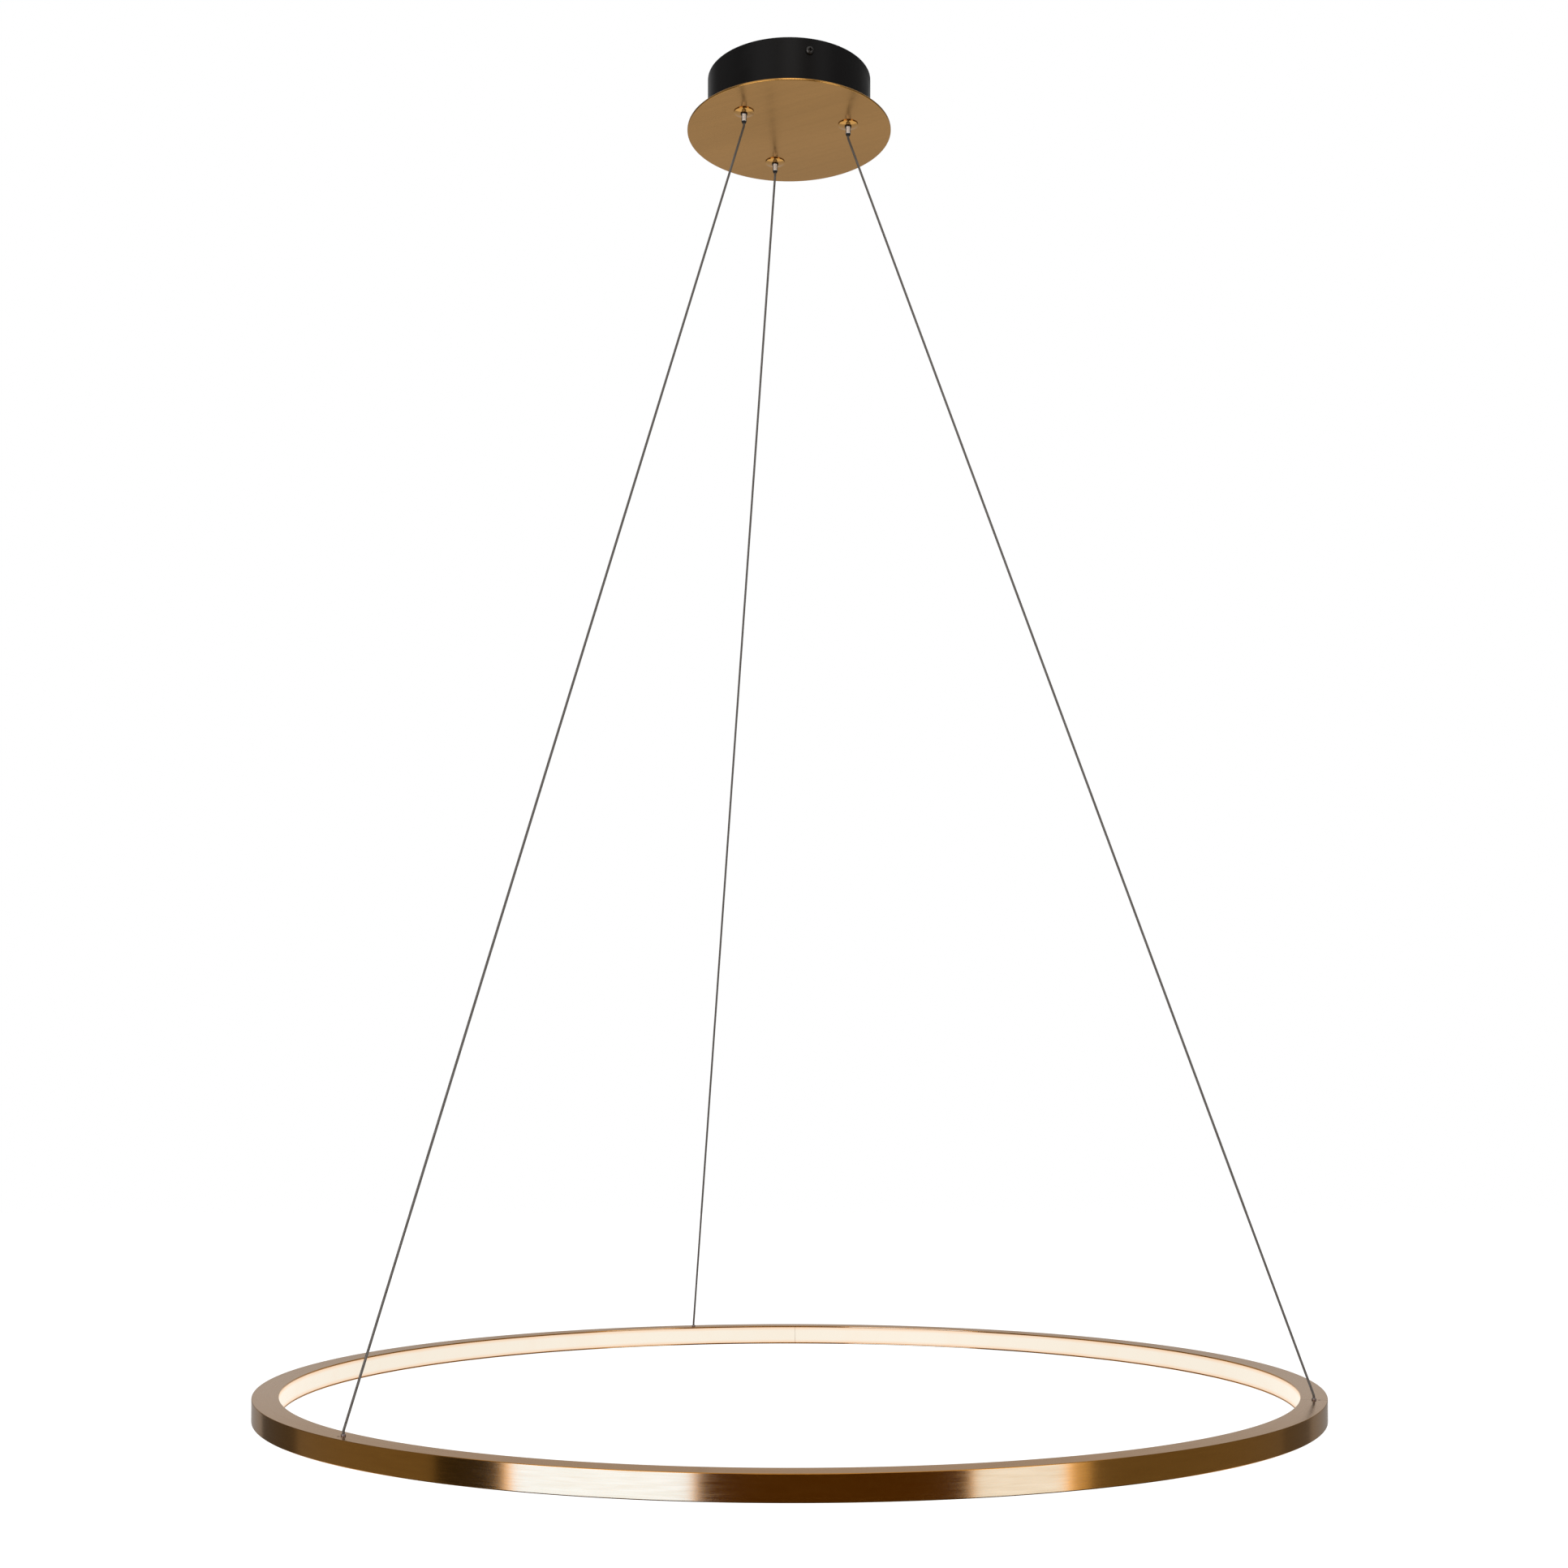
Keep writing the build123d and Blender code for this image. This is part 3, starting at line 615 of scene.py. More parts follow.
nylon = finishes["black_nylon"].node_tree.nodes["Principled BSDF"]
nylon.inputs["Specular IOR Level"].default_value = nylonGloss
for row in frame["record"]["subparts"]:
    node = frame["nodes"][row["node"]]
    for place in node.material_slots:
        place.material = finishes[row["material_slot"]]
print("finishes made,", len(finishes))


# ---- cables ----
cable = {
    "diameter": 0.0022,
    "length": 1.281,
    "gripperR": 0.060,
    "anchorR": 0.488,
    "mouth": -0.0633,
    "nippleTop": -1.2705,
    "bendRun": 0.0022, "endGap": 0.00002,
    "arms": {"a": 103.5, "b": 223.5, "c": 343.5},
    "ringTravel": 0.8,
}


def armPoint(letter, r, z):
    turn = radians(cable["arms"][letter])
    return Vector((r * cos(turn), r * sin(turn), z))


def smoothLine(name, points, bevel=0.0, resolution=24):
    data = bpy.data.curves.new(name, "CURVE")
    data.dimensions = "3D"
    data.resolution_u = resolution
    line = data.splines.new("NURBS")
    line.points.add(len(points) - 1)
    for spot, point in zip(line.points, points):
        spot.co = (*point, 1)
    line.order_u = 3
    line.use_endpoint_u = True
    data.bevel_depth = bevel
    data.bevel_resolution = 5
    data.use_fill_caps = True
    piece = bpy.data.objects.new(name, data)
    bpy.context.scene.collection.objects.link(piece)
    return piece


def lineToMesh(piece):
    only(piece)
    bpy.ops.object.convert(target="MESH")
    return bpy.context.object


def readLine(points):
    # the points that the smooth line passes through
    line = smoothLine("route", points)
    mesh = bpy.data.meshes.new_from_object(line)
    path = [v.co.copy() for v in mesh.vertices]
    bpy.data.objects.remove(line)
    bpy.data.meshes.remove(mesh)
    return path


def makeCable(letter):
    top = armPoint(letter, cable["gripperR"], cable["mouth"])
    bendTop = armPoint(letter, cable["gripperR"], cable["mouth"] - cable["bendRun"])
    bendLow = armPoint(letter, cable["anchorR"], cable["nippleTop"] + cable["bendRun"])
    low = armPoint(letter, cable["anchorR"], cable["nippleTop"])
    run = (bendLow - bendTop).normalized() * cable["bendRun"]
    route = [top, bendTop, bendTop + run, bendLow - run, bendLow, low]
    hung = route[:-1] + [low + Vector((0, 0, cable["endGap"]))]
    piece = lineToMesh(smoothLine("suspensionCable_" + letter, hung, cable["diameter"] / 2))
    smooth(piece)
    dress(piece, finishes["cable_sheath"], "canopy", "cable_sheath", "suspension_cable_" + letter)
    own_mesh(piece)
    [tuple(p) for p in readLine(route)]


for letter in cable["arms"]:
    makeCable(letter)
print("cables hung")


# ---- ring ----
ring = {
    "outerR": 0.500,
    "width": 0.024,
    "wall": 0.0015,
    "edgeTop": 0.0007,    # rounding of the outer edges
    "edgeLow": 0.001,
    "lipEdge": 0.0005,
    "rib": 0.0008,
    "ribSetback": 0.003,
    "seamGap": 0.0005,
    "seamAngle": 343.5,
    "steps": 720,
    "lockScrewOut": 0.0045,
    "holeSides": 40,
    "nippleHole": 0.00178, "lockHole": 0.00128,
    "joinerR": 0.48955, "joinerStep": 1.7556, "joinerCount": 4,
    "sinkWide": 0.0026, "sinkNarrow": 0.00135,
}
lockScrewR = cable["anchorR"] + ring["lockScrewOut"]


def makeRing():
    top, bottom = ringHigh.z, ringLow.z
    outer = ring["outerR"]
    inner = outer - ring["width"]
    wall, rib = ring["wall"], ring["rib"]
    clip = inner + ring["ribSetback"]
    back = outer - wall
    half = [(inner, wall), (clip, wall), (clip, wall + rib), (clip + rib, wall + rib), (clip + rib, wall),
            (back, wall)]
    corners = [(inner, top), (outer, top), (outer, bottom), (inner, bottom)]
    corners += [(r, bottom + z) for r, z in half]
    corners += [(r, top - z) for r, z in reversed(half)]
    piece = drawOutline("ringChannel", corners)
    roundCorner(piece, outer, top, ring["edgeTop"], 4)
    roundCorner(piece, outer, bottom, ring["edgeLow"], 5)
    for z in (top, top - wall, bottom + wall, bottom):
        roundCorner(piece, inner, z, ring["lipEdge"], 4)
    gap = ring["seamGap"] / outer * 180 / pi
    spinOutline(piece, ring["steps"], 360 - gap)
    turnAndMove(piece, ring["seamAngle"] - gap / 2)
    return piece


def sinkTool(angle):
    # cone of a countersink, wide at the ring's underside
    low, wall = ringLow.z, ring["wall"]
    wide, narrow = ring["sinkWide"], ring["sinkNarrow"]
    piece = drawOutline("sink", [(0, low - wall), (wide, low - wall), (wide, low), (narrow, low + wall),
                                 (narrow, low + 2 * wall), (0, low + 2 * wall)])
    spinOutline(piece, ring["holeSides"])
    turnAndMove(piece, angle, (ring["joinerR"], 0, 0))
    return piece


def ringTools():
    # bores at the cables, and the countersinks either side of the seam
    top, wall = ringHigh.z, ring["wall"]
    tools = []
    for angle in cable["arms"].values():
        for r, hole in ((cable["anchorR"], ring["nippleHole"]), (lockScrewR, ring["lockHole"])):
            x, y = r * cos(radians(angle)), r * sin(radians(angle))
            tools.append(drill(hole, top - wall - pastFace, top + pastFace, x, y, ring["holeSides"]))
    for i in range(ring["joinerCount"]):
        step = i - (ring["joinerCount"] - 1) / 2
        tools.append(sinkTool(ring["seamAngle"] + step * ring["joinerStep"]))
    return joinTools(tools)


channel = makeRing()
cutAway(channel, ringTools())
smooth(channel)
dress(channel, finishes["bronze_anodised"], "ring", "bronze_anodised", "ring_channel")
print("ring spun,", len(channel.data.polygons), "faces")

strip = {
    "wall": 0.0016,
    "leg": 0.0012,
    "gap": 0.0001,
    "joint": 89.0,
    "jointGap": 0.0003,
    "edge": 0.0003,
    "steps": 720,
}


def makeDiffuser():
    top, bottom = ringHigh.z, ringLow.z
    inner = ring["outerR"] - ring["width"]
    clip = inner + ring["ribSetback"]
    gap, rib = strip["gap"], ring["rib"]
    edge = ring["wall"] + gap
    legTop = ring["wall"] + rib + gap
    legEnd = legTop + strip["leg"]
    barb = clip + rib + gap
    half = [(inner, edge), (clip - gap, edge), (clip - gap, legTop), (barb, legTop), (barb, edge),
            (barb + rib, legTop), (barb + rib, legEnd), (inner + strip["wall"], legEnd)]
    corners = [(r, top - z) for r, z in half] + [(r, bottom + z) for r, z in reversed(half)]
    piece = drawOutline("diffuserStrip", corners)
    for z in (top - edge, bottom + edge):
        roundCorner(piece, inner, z, strip["edge"])
    opening = strip["jointGap"] / inner * 180 / pi
    spinOutline(piece, strip["steps"], 360 - opening)
    turnAndMove(piece, strip["joint"] - opening / 2)
    return piece


diffuser = makeDiffuser()
smooth(diffuser)
dress(diffuser, finishes["opal"], "ring", "opal", "diffuser")
print("diffuser spun,", len(diffuser.data.polygons), "faces")


# ---- canopy ----
plate = {"r": 0.100, "edge": 0.0005, "sides": 256, "bore": 0.0051}


def gripperHoles(low, high):
    # tools for the three bores that the grippers sit in
    r = cable["gripperR"]
    tools = []
    for angle in cable["arms"].values():
        x, y = r * cos(radians(angle)), r * sin(radians(angle))
        tools.append(drill(plate["bore"], low - pastFace, high + pastFace, x, y))
    return tools


def makePlate():
    low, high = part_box("canopy_plate")
    bpy.ops.object.select_all(action="DESELECT")
    bpy.ops.mesh.primitive_cylinder_add(vertices=plate["sides"], radius=plate["r"], depth=high.z - low.z,
                                        location=(0, 0, (low.z + high.z) / 2))
    piece = newPiece("canopyPlate")
    bpy.ops.object.transform_apply(location=True, rotation=True, scale=True)
    editMode()
    pickEdges(piece, lambda a, b: near(a.z, b.z))
    bpy.ops.mesh.bevel(offset=plate["edge"], segments=4, profile=0.5)
    objectMode()
    cutAway(piece, joinTools(gripperHoles(low.z, high.z)))
    return piece


plateDisc = makePlate()
smooth(plateDisc)
dress(plateDisc, finishes["brushed_gold"], "canopy", "brushed_gold", "canopy_plate")

housing = {
    "r": 0.080, "wall": 0.0012, "corner": 0.002, "lip": 0.0003, "steps": 256,
    "screwAngle": 284.0, "screwCount": 2, "screwDrop": 0.012, "screwHole": 0.0021, "screwCut": 0.003,
    "studR": 0.0015, "studHeight": 0.006, "studX": 0.059, "studY": 0.013, "studEdge": 0.0003,
    "studSides": 32,
}


def screwTurn(i):
    # direction of a side screw
    return radians(housing["screwAngle"] + 360 * i / housing["screwCount"])


def makeHousing():
    low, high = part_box("canopy_housing")
    r, wall = housing["r"], housing["wall"]
    floor = low.z + wall
    corners = [(0, low.z), (r, low.z), (r, high.z), (r - wall, high.z), (r - wall, floor), (0, floor)]
    piece = drawOutline("canopyHousing", corners)
    roundCorner(piece, r, low.z, housing["corner"], 6)
    roundCorner(piece, r - wall, floor, housing["corner"] - wall, 4)
    roundCorner(piece, r, high.z, housing["lip"], 3)
    spinOutline(piece, housing["steps"])
    tools = gripperHoles(low.z, floor)
    for i in range(housing["screwCount"]):
        tool = drill(housing["screwHole"], -housing["screwCut"], housing["screwCut"])
        tool.data.transform(Matrix.Rotation(radians(90), 4, "Y"))
        tool.data.transform(Matrix.Translation((r, 0, -housing["screwDrop"])))
        tool.data.transform(Matrix.Rotation(screwTurn(i), 4, "Z"))
        tools.append(tool)
    cutAway(piece, joinTools(tools))
    return joinTools([piece] + [makeStud(side, floor) for side in (-1, 1)])


def makeStud(side, floor):
    # pressed in from inside, for the nuts of the driver
    x, y, r = side * housing["studX"], housing["studY"], housing["studR"]
    stud = drill(r, floor - housing["wall"] / 2, floor + housing["studHeight"], x, y, housing["studSides"])
    editMode()
    pickEdges(stud, lambda a, b: near(a.z, b.z) and a.z > floor)
    bpy.ops.mesh.bevel(offset=housing["studEdge"], segments=2)
    objectMode()
    return stud


cup = makeHousing()
smooth(cup)
dress(cup, finishes["black_lacquer"], "canopy", "black_lacquer", "canopy_housing")
print("canopy made")


# ---- cable grippers ----
# heights are from the underside of the plate, as on the turned part itself
gripper = {
    "bore": 0.00333, "hubR": 0.0039, "hubDrop": 0.0018, "rimR": 0.0098, "rimDrop": 0.0008,
    "domeR": 0.0072, "domeDrop": 0.0015,
    "domeRound": 0.0022, "rimRound": 0.00018, "hubRound": 0.00025,
    "stemR": 0.005, "stemTop": 0.024,
    "coneLowR": 0.00322, "coneHighR": 0.00406, "coneLow": 0.005, "coneHigh": 0.013,
    "collarR": 0.0033, "collarBore": 0.00255, "collarDrop": 0.0028,
    "collarRound": 0.00015, "collarBoreRound": 0.0001,
    "nozzleR": 0.0025, "nozzleDrop": 0.0094, "nozzleRound": 0.0003,
    "cageR": 0.0029, "cageLow": 0.00505, "cageTop": 0.014,
    "windows": 3, "windowR": 0.0013, "windowHeight": 0.0085, "windowReach": 0.005, "windowSides": 32,
    "cableBore": 0.0014, "spigotR": 0.0019, "spigotTop": 0.0064,
    "tipR": 0.0017, "tipDrop": 0.0113, "tipRound": 0.00025,
    "tipPlay": 0.00003, "tipStep": 0.0001,    # in the nozzle, and back from its rim
    "steps": 96,
}


def makeFlange():
    g = gripper
    corners = [(g["bore"], -g["hubDrop"]), (g["hubR"], -g["hubDrop"]), (g["domeR"], -g["domeDrop"]),
               (g["rimR"], -g["rimDrop"]), (g["rimR"], 0), (g["stemR"], 0), (g["stemR"], g["stemTop"]),
               (g["coneHighR"], g["stemTop"]), (g["coneHighR"], g["coneHigh"]),
               (g["coneLowR"], g["coneLow"]), (g["bore"], g["coneLow"])]
    piece = drawOutline("gripperFlange", corners)
    roundCorner(piece, g["domeR"], -g["domeDrop"], g["domeRound"], 8)
    roundCorner(piece, g["rimR"], -g["rimDrop"], g["rimRound"])
    roundCorner(piece, g["hubR"], -g["hubDrop"], g["hubRound"])
    spinOutline(piece, g["steps"])
    return piece


def makeCollar():
    g = gripper
    corners = [(g["collarBore"], -g["collarDrop"]), (g["collarR"], -g["collarDrop"]),
               (g["collarR"], g["coneLow"]), (g["collarBore"], g["coneLow"])]
    piece = drawOutline("gripperCollar", corners)
    roundCorner(piece, g["collarR"], -g["collarDrop"], g["collarRound"])
    roundCorner(piece, g["collarBore"], -g["collarDrop"], g["collarBoreRound"], 2)
    spinOutline(piece, g["steps"])
    return piece


def makeNozzle():
    g = gripper
    corners = [(g["spigotR"], -g["nozzleDrop"]), (g["nozzleR"], -g["nozzleDrop"]),
               (g["nozzleR"], g["cageLow"]), (g["cageR"], g["cageLow"]), (g["cageR"], g["cageTop"]),
               (g["cableBore"], g["cageTop"]), (g["cableBore"], -g["spigotTop"]),
               (g["spigotR"], -g["spigotTop"])]
    piece = drawOutline("gripperNozzle", corners)
    roundCorner(piece, g["nozzleR"], -g["nozzleDrop"], g["nozzleRound"])
    spinOutline(piece, g["steps"])
    for i in range(g["windows"]):
        window = drill(g["windowR"], 0, g["windowReach"], sides=g["windowSides"])
        window.data.transform(Matrix.Rotation(radians(90), 4, "Y"))
        window.data.transform(Matrix.Translation((0, 0, g["windowHeight"])))
        window.data.transform(Matrix.Rotation(radians(360 * i / g["windows"]), 4, "Z"))
        cutAway(piece, window)
    return piece


def makeTip():
    g = gripper
    plug = g["spigotR"] - g["tipPlay"]
    rim = g["nozzleR"] - g["tipStep"]
    corners = [(g["cableBore"], -g["tipDrop"]), (g["tipR"], -g["tipDrop"]), (rim, -g["nozzleDrop"]),
               (plug, -g["nozzleDrop"]), (plug, -g["spigotTop"]), (g["cableBore"], -g["spigotTop"])]
    piece = drawOutline("gripperTip", corners)
    roundCorner(piece, g["tipR"], -g["tipDrop"], g["tipRound"])
    spinOutline(piece, g["steps"])
    return piece


spring = {"wireR": 0.0003, "centreR": 0.0024, "turns": 5, "turnPoints": 24, "fill": 3, "release": 0.003}
springLow, springHigh = (corner.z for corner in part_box("gripper_spring_a"))


def makeSpring():
    # stands on the nozzle's cage
    low, high = springLow + spring["wireR"], springHigh - spring["wireR"]
    r = spring["centreR"]
    count = spring["turns"] * spring["turnPoints"]
    route = []
    for i in range(count + 1):
        turn = 2 * pi * i / spring["turnPoints"]
        route.append((r * cos(turn), r * sin(turn), low + (high - low) * i / count))
    return lineToMesh(smoothLine("gripperSpring", route, spring["wireR"], spring["fill"]))


coil = makeSpring()
smooth(coil)
for letter, angle in cable["arms"].items():
    copy = copyPiece(coil, "gripperSpring_" + letter)
    turnAndMove(copy, angle, (cable["gripperR"], 0, 0))
    dress(copy, finishes["spring_steel"], "canopy", "spring_steel", "gripper_spring_" + letter)
    top = armPoint(letter, cable["gripperR"], springHigh)
    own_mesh(copy)
bpy.data.objects.remove(coil)

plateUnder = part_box("canopy_plate")[0].z
# the guide bush is nickel painted nearly black: painted shade, for the shadow under the flange
paintedShadeNickel = metalFinish("paintedShadeNickel", (0.03, 0.02, 0.012), (0.06, 0.042, 0.03), 0.25, 0.35, 4000, 1e-6)
gripperParts = [
    (makeFlange(), "gripper_body_", "canopy", turnedGoldFinish(), "brushed_gold"),
    (makeCollar(), "guide_bush_", "canopy", paintedShadeNickel, "nickel"),
    (makeNozzle(), "gripper_plunger_", "plunger_", nozzleFinish(), "nickel"),
    (makeTip(), "nozzle_tip_", "plunger_", finishes["black_nylon"], "black_nylon"),
]
for part, nodeStart, body, finish, slotName in gripperParts:
    smooth(part)
    for letter, angle in cable["arms"].items():
        copy = copyPiece(part, part.name + "_" + letter)
        turnAndMove(copy, angle, (cable["gripperR"], 0, plateUnder))
        dress(copy, finish, body + letter if body.endswith("_") else body, slotName, nodeStart + letter)
    bpy.data.objects.remove(part)
print("grippers made")


# ---- anchors on the ring ----
anchor = {
    "bore": 0.0012, "stemR": 0.00175, "collarR": 0.002, "collarTop": 0.0015, "stemBottom": 0.0035,
    "round": 0.0005, "steps": 64,
    "screwR": 0.00125, "screwDrop": 0.0012, "screwEdge": 0.0001, "screwSides": 40,
    "socketR": 0.00072, "socketDepth": 0.001,
}


def makeNipple():
    a = anchor
    corners = [(a["bore"], -a["stemBottom"]), (a["stemR"], -a["stemBottom"]), (a["stemR"], 0),
               (a["collarR"], 0), (a["collarR"], a["collarTop"]), (a["bore"], a["collarTop"])]
    piece = drawOutline("anchorNipple", corners)
    roundCorner(piece, a["collarR"], a["collarTop"], a["round"], 5)
    spinOutline(piece, a["steps"])
    return piece


def makeLockScrew():
    a = anchor
    piece = drill(a["screwR"], -a["stemBottom"], -a["screwDrop"], sides=a["screwSides"])
    piece.name = "lockScrew"
    editMode()
    pickEdges(piece, lambda p, q: near(p.z, -a["screwDrop"]) and near(q.z, -a["screwDrop"]))
    bpy.ops.mesh.bevel(offset=a["screwEdge"], segments=2)
    objectMode()
    cutAway(piece, drill(a["socketR"], -a["screwDrop"] - a["socketDepth"], pastFace, sides=6))
    return piece


dullNickel = metalFinish("dullNickel", (0.22, 0.18, 0.165), (0.32, 0.27, 0.25), 0.4, 0.5, 3000, 1e-6)
anchorParts = [
    (makeNipple(), cable["anchorR"], dullNickel, "nickel", "anchor_nipple_"),
    (makeLockScrew(), lockScrewR, finishes["black_screw"], "black_screw", "lock_screws"),
]
for part, r, finish, slotName, nodeName in anchorParts:
    smooth(part)
    for letter, angle in cable["arms"].items():
        copy = copyPiece(part, part.name + "_" + letter)
        turnAndMove(copy, angle, (r, 0, ringHigh.z))
        dress(copy, finish, "ring", slotName, nodeName + letter if nodeName.endswith("_") else nodeName)
    bpy.data.objects.remove(part)
print("anchors made")


# ---- side screws of the housing ----
sideScrew = {
    "shankR": 0.002, "length": 0.008, "headR": 0.004, "headHeight": 0.0026, "crownR": 0.0022,
    "crownStart": 0.45, "crownRound": 0.0006,    # share of the head that is upright, rounding above
    "crossLength": 0.006, "crossWidth": 0.0016, "crossDepth": 0.0018, "crossTaper": 0.35,
    "steps": 64, "turn": 5, "turnStep": 30,
}


def makeSideScrew():
    s = sideScrew
    rim = s["headHeight"] * s["crownStart"]
    corners = [(0, -s["length"]), (s["shankR"], -s["length"]), (s["shankR"], 0), (s["headR"], 0),
               (s["headR"], rim), (s["crownR"], s["headHeight"]), (0, s["headHeight"])]
    piece = drawOutline("sideScrew", corners)
    roundCorner(piece, s["headR"], rim, s["crownRound"], 4)
    roundCorner(piece, s["crownR"], s["headHeight"], s["crownRound"], 4)
    spinOutline(piece, s["steps"])
    blades = []
    for turn in (0, 90):
        bpy.ops.object.select_all(action="DESELECT")
        bpy.ops.mesh.primitive_cube_add(size=1, location=(0, 0, s["headHeight"]))
        blade = bpy.context.object
        blade.scale = (s["crossLength"], s["crossWidth"], 2 * s["crossDepth"])
        blade.rotation_euler = (0, 0, radians(turn))
        bpy.ops.object.transform_apply(location=True, rotation=True, scale=True)
        editMode()
        pickPoints(blade, lambda co: co.z < s["headHeight"])
        taper = s["crossTaper"]
        bpy.ops.transform.resize(value=(taper, taper, 1), center_override=(0, 0, s["headHeight"]))
        objectMode()
        blades.append(blade)
    for blade in blades:
        cutAway(piece, blade)
    return piece


screw = makeSideScrew()
smooth(screw, 40)
for i in range(housing["screwCount"]):
    copy = copyPiece(screw, "sideScrew_" + str(i + 1))
    copy.data.transform(Matrix.Rotation(radians(sideScrew["turn"] + sideScrew["turnStep"] * i), 4, "Z"))
    copy.data.transform(Matrix.Rotation(radians(90), 4, "Y"))
    copy.data.transform(Matrix.Translation((housing["r"], 0, -housing["screwDrop"])))
    copy.data.transform(Matrix.Rotation(screwTurn(i), 4, "Z"))
    dress(copy, finishes["black_screw"], "canopy", "black_screw", "housing_screws")
bpy.data.objects.remove(screw)
print("screws made")


# ---- leads out of sight ----
inside = {
    "stopTop": -0.0205, "runHeight": -0.010,
    "wayX": {"a": 0.0, "b": 0.010, "c": 0.020}, "wayY": -0.0135, "wayMouth": -0.0348, "wayEnd": -0.0427,
    "leadD": 0.0018, "leadZ": -0.0428, "leadSag": 0.0004,
    "mainsX": (0.016, 0.036), "mainsY": (0.0295, 0.047),
    "outputX": (0.0, 0.020), "outputY": (-0.0035, -0.0121),
    "ringLeadD": 0.0012, "ringLeadTop": -1.28155, "ringLeadFall": 0.003, "stripR": 0.4981,
}


def makeTail(letter):
    low = armPoint(letter, cable["gripperR"], cable["mouth"])
    x, y = inside["wayX"][letter], inside["wayY"]
    route = [low]
    route += [Vector((low.x, low.y, z)) for z in (inside["stopTop"], inside["runHeight"])]
    route += [Vector((x, y, z)) for z in (inside["runHeight"], inside["wayMouth"], inside["wayEnd"])]
    piece = lineToMesh(smoothLine("cableTail_" + letter, route, cable["diameter"] / 2))
    smooth(piece)
    dress(piece, finishes["cable_sheath"], "canopy", "cable_sheath", "cable_tail_" + letter)


def makeLead(name, start, end):
    third = (end - start) / 3
    drop = Vector((0, 0, -inside["leadSag"]))
    route = [start, start + third + drop, end - third + drop, end]
    piece = lineToMesh(smoothLine(name, route, inside["leadD"] / 2))
    smooth(piece)
    dress(piece, finishes["wire_insulation"], "canopy", "wire_insulation", "internal_leads")


for letter in cable["arms"]:
    makeTail(letter)
for place in ("mains", "output"):
    startY, endY = inside[place + "Y"]
    for side, x in zip(("Left", "Right"), inside[place + "X"]):
        start = Vector((x, startY, inside["leadZ"]))
        end = Vector((x, endY, inside["leadZ"]))
        makeLead(place + "Lead" + side, start, end)
for letter in ("b", "c"):
    top = armPoint(letter, cable["anchorR"], inside["ringLeadTop"])
    bend = top - Vector((0, 0, inside["ringLeadFall"]))
    end = armPoint(letter, inside["stripR"], bend.z)
    piece = lineToMesh(smoothLine("ringLead_" + letter, [top, bend, end], inside["ringLeadD"] / 2))
    smooth(piece)
    dress(piece, finishes["wire_insulation"], "ring", "wire_insulation", "ring_leads")
print("leads made")


# ---- floor and light ----
# directions are from the ring's middle: 0 is the camera's side, more is further to the right
# a sheen is cool light that the bronze alone shows
room = {
    "floor": -2.6,
    "floorSize": 60,
    "floorColour": (0.8, 0.8, 0.79), "floorRough": 0.7, "floorGlow": 0.7,
    "ambient": 0.55,
    "lampRadius": 3.0,
    "lamps": {
        "softboxLeft": {"span": (-52.2, -16.2), "low": -2.45, "high": 0.7, "level": 1.0,
                        "sheen": (0.12, 2.8, 22.9)},
        "softboxRight": {"span": (32, 51.6), "low": -2.45, "high": 0.7, "level": 0.95,
                         "sheen": (0.03, 1.8, 13.6)},
        "softboxHigh": {"span": (-10, 16), "low": 0.95, "high": 2.2, "level": 1.3},
    },
    "sheenRadius": 3.1, "sheenInset": 0.9, "sheenHigh": -1.0,
    "clothRadius": 3.3, "clothLow": -2.55, "clothHigh": 2.8,
    "cloths": {
        "clothFront": {"span": (-17, 33), "level": 0.12, "colour": (1, 0.58, 0.06)},
        "clothLeftEdge": {"span": (-68.5, -53.5), "level": 0.05},
        "clothLeft": {"span": (-112, -68.5), "level": 0.29},
        "clothLeftEnd": {"span": (-134, -112), "level": 0.12},
        "clothLeftBack": {"span": (-150, -134), "level": 0.38},
        "clothRight": {"span": (56, 112), "level": 0.25},
        "clothRightEnd": {"span": (112, 128), "level": 0.16},
        "clothRightBack": {"span": (128, 150), "level": 0.33},
        "clothBack": {"span": (150, 210), "level": 0.6},
    },
    "mats": {
        "matFront": {"span": (-95, 95), "width": 3.2},
        "matBack": {"span": (95, 265), "width": 1.4},
    },
    "matInner": 0.02, "matHeight": -2.56, "matLevel": 0.12,
    "screenSteps": 24,
}


def showWhite(tree):
    # 1 for what the camera or a mirror sees, 0 for what only lights
    path = tree.nodes.new("ShaderNodeLightPath")
    seen = mathNode(tree, "MAXIMUM", path.outputs["Is Camera Ray"], path.outputs["Is Glossy Ray"])
    return mathNode(tree, "MAXIMUM", seen, path.outputs["Is Transmission Ray"])


def makeWorld():
    world = bpy.data.worlds.new("studio")
    bpy.context.scene.world = world
    world.use_nodes = True
    tree = world.node_tree
    ground = tree.nodes["Background"]
    ground.inputs["Color"].default_value = (1, 1, 1, 1)
    level = rangeNode(tree, showWhite(tree), 0, 1, room["ambient"], 1.0)
    tree.links.new(level, ground.inputs["Strength"])


def makeFloor():
    bpy.ops.object.select_all(action="DESELECT")
    bpy.ops.mesh.primitive_plane_add(size=room["floorSize"], location=(0, 0, room["floor"]))
    piece = newPiece("floor")
    bpy.ops.object.transform_apply(location=True, rotation=True, scale=True)
    finish, tree, shader = startFinish("floorPaint", room["floorColour"], 0.0, room["floorRough"])
    shader.inputs["Specular IOR Level"].default_value = 0
    shader.inputs["Emission Color"].default_value = (1, 1, 1, 1)
    glow = mathNode(tree, "MULTIPLY", showWhite(tree), room["floorGlow"])
    tree.links.new(glow, shader.inputs["Emission Strength"])
    piece.data.materials.append(finish)


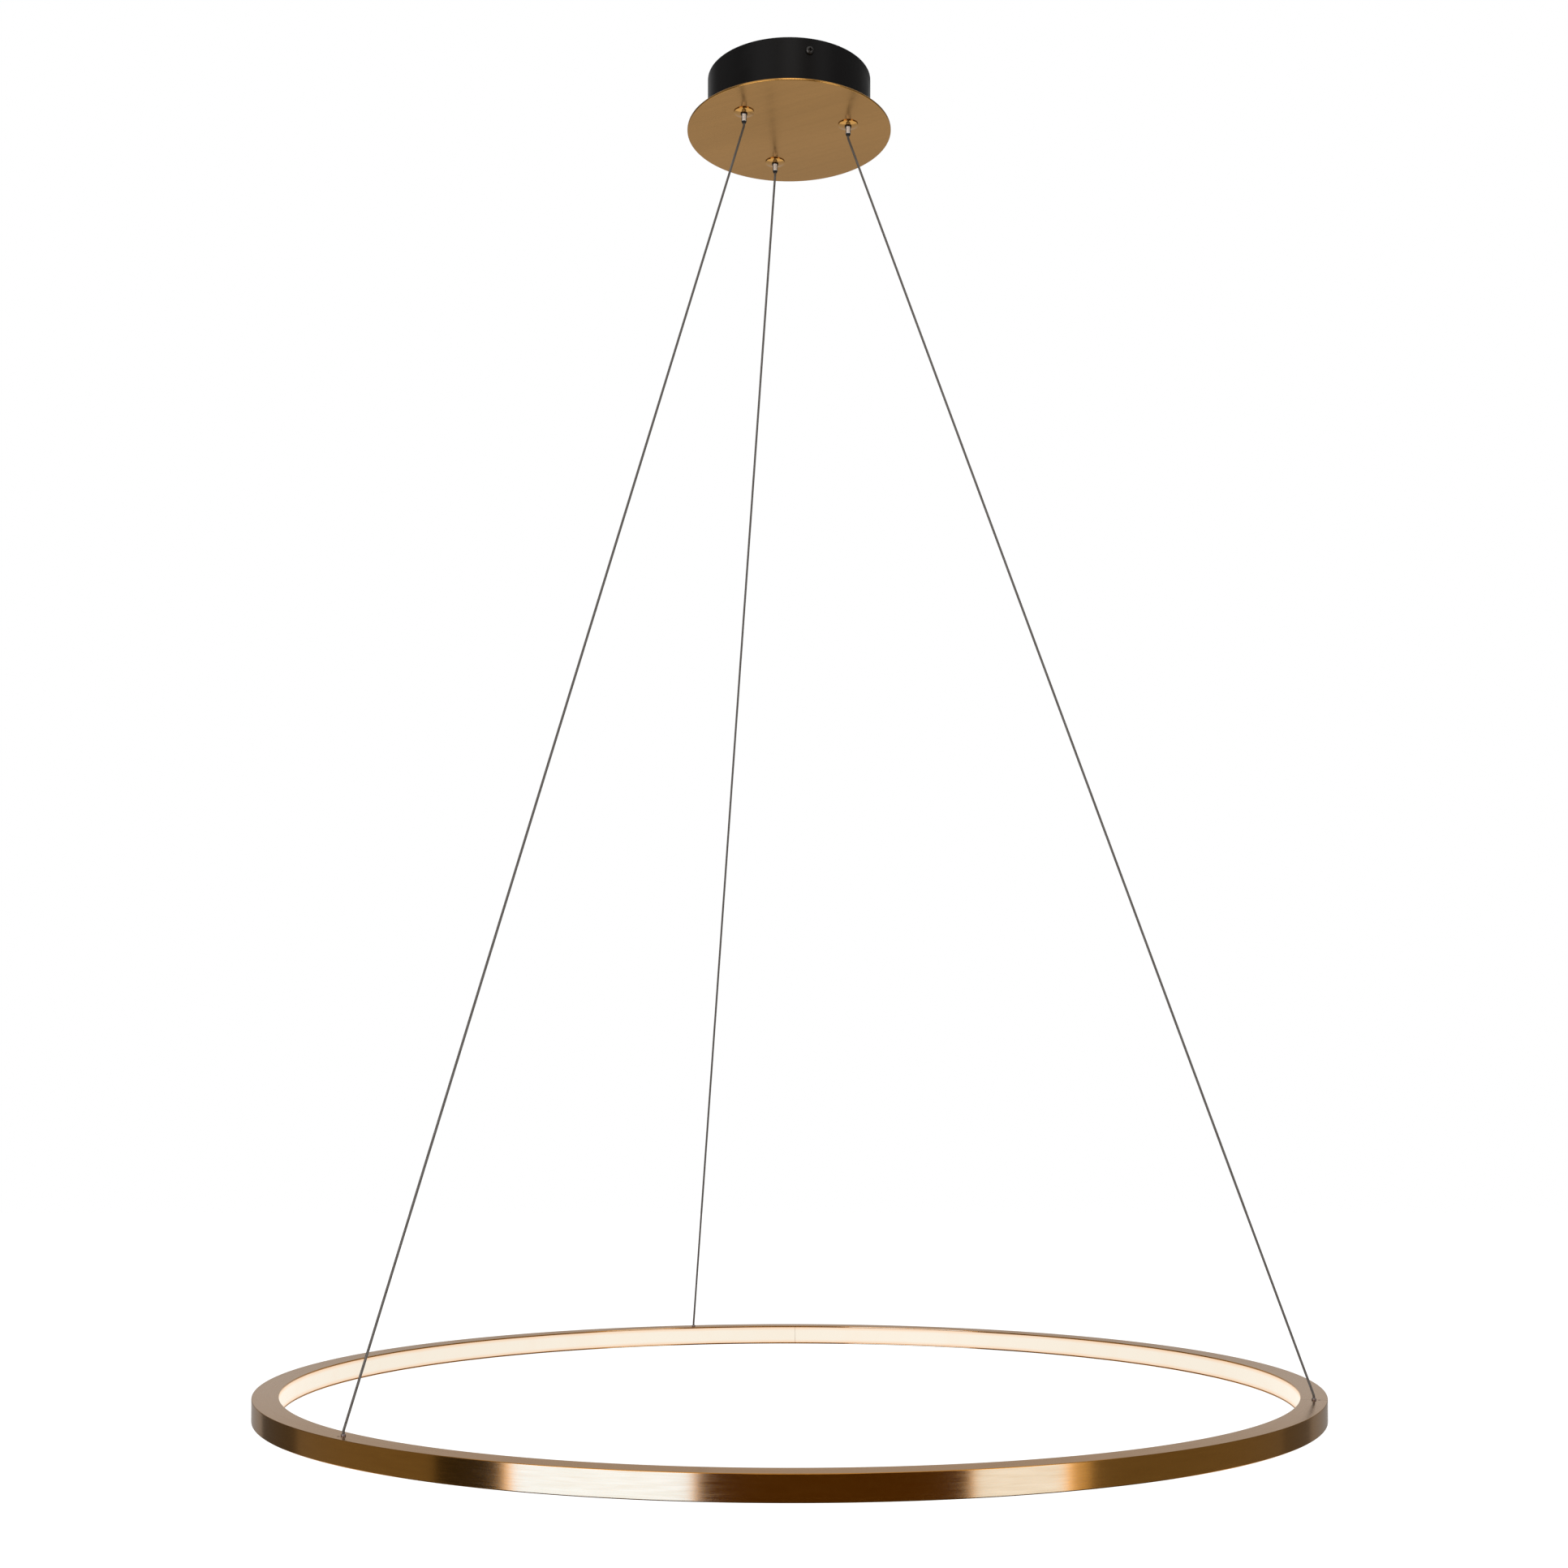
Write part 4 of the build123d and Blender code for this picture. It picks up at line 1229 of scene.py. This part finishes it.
def makeLamp(name, lamp):
    left, right = (radians(a) for a in lamp["span"])
    r = room["lampRadius"]
    middle = (left + right) / 2
    away = r * cos((right - left) / 2)
    data = bpy.data.lights.new(name, "AREA")
    data.shape = "RECTANGLE"
    data.size = 2 * r * sin((right - left) / 2)
    data.size_y = lamp["high"] - lamp["low"]
    data.energy = lamp["level"] * 2 * pi * data.size * data.size_y
    piece = bpy.data.objects.new(name, data)
    piece.location = (away * sin(middle), -away * cos(middle), (lamp["low"] + lamp["high"]) / 2)
    piece.rotation_euler = (radians(90), 0, middle)
    bpy.context.scene.collection.objects.link(piece)


def makeScreen(name, span, r, low, high, colour, level, reach=0.0):
    # a curved screen round the light that only glossy metal shows, or a flat mat if it has a reach
    bpy.ops.object.select_all(action="DESELECT")
    bpy.ops.mesh.primitive_plane_add(size=0.001)
    piece = newPiece(name)
    editMode()
    bpy.ops.mesh.merge(type="CENTER")
    bpy.ops.transform.translate(value=(0, -r, low))
    bpy.ops.mesh.extrude_vertices_move(TRANSFORM_OT_translate={"value": (0, -reach, high - low)})
    bpy.ops.mesh.select_all(action="SELECT")
    bpy.ops.transform.rotate(value=-radians(span[1]), orient_axis="Z", center_override=(0, 0, 0))
    bpy.ops.mesh.spin(steps=room["screenSteps"], angle=radians(span[1] - span[0]), center=(0, 0, 0),
                      axis=(0, 0, 1))
    objectMode()
    finish, tree, shader = startFinish(name, (0, 0, 0), 0.0, 1.0)
    shader.inputs["Specular IOR Level"].default_value = 0
    shader.inputs["Emission Color"].default_value = (*colour, 1)
    shader.inputs["Emission Strength"].default_value = level
    piece.data.materials.append(finish)
    piece.visible_camera = False
    piece.visible_diffuse = False
    piece.visible_shadow = False
    piece.visible_transmission = False
    return piece


def makeSheen(name, lamp):
    peak = max(lamp["sheen"])
    colour = [part / peak for part in lamp["sheen"]]
    span = (lamp["span"][0] + room["sheenInset"], lamp["span"][1] - room["sheenInset"])
    piece = makeScreen(name + "Sheen", span, room["sheenRadius"], lamp["low"], room["sheenHigh"], colour,
                       peak)
    piece.light_linking.receiver_collection = bronzeOnly


makeWorld()
makeFloor()
bronzeOnly = bpy.data.collections.new("bronzeOnly")
bronzeOnly.objects.link(channel)
for name, lamp in room["lamps"].items():
    makeLamp(name, lamp)
for name in ("softboxLeft", "softboxRight"):
    makeSheen(name, room["lamps"][name])
for name, cloth in room["cloths"].items():
    makeScreen(name, cloth["span"], room["clothRadius"], room["clothLow"], room["clothHigh"],
               cloth.get("colour", (1, 1, 1)), cloth["level"])
for name, mat in room["mats"].items():
    height = room["matHeight"]
    makeScreen(name, mat["span"], room["matInner"], height, height, (1, 1, 1), room["matLevel"],
               mat["width"])
print("room lit")
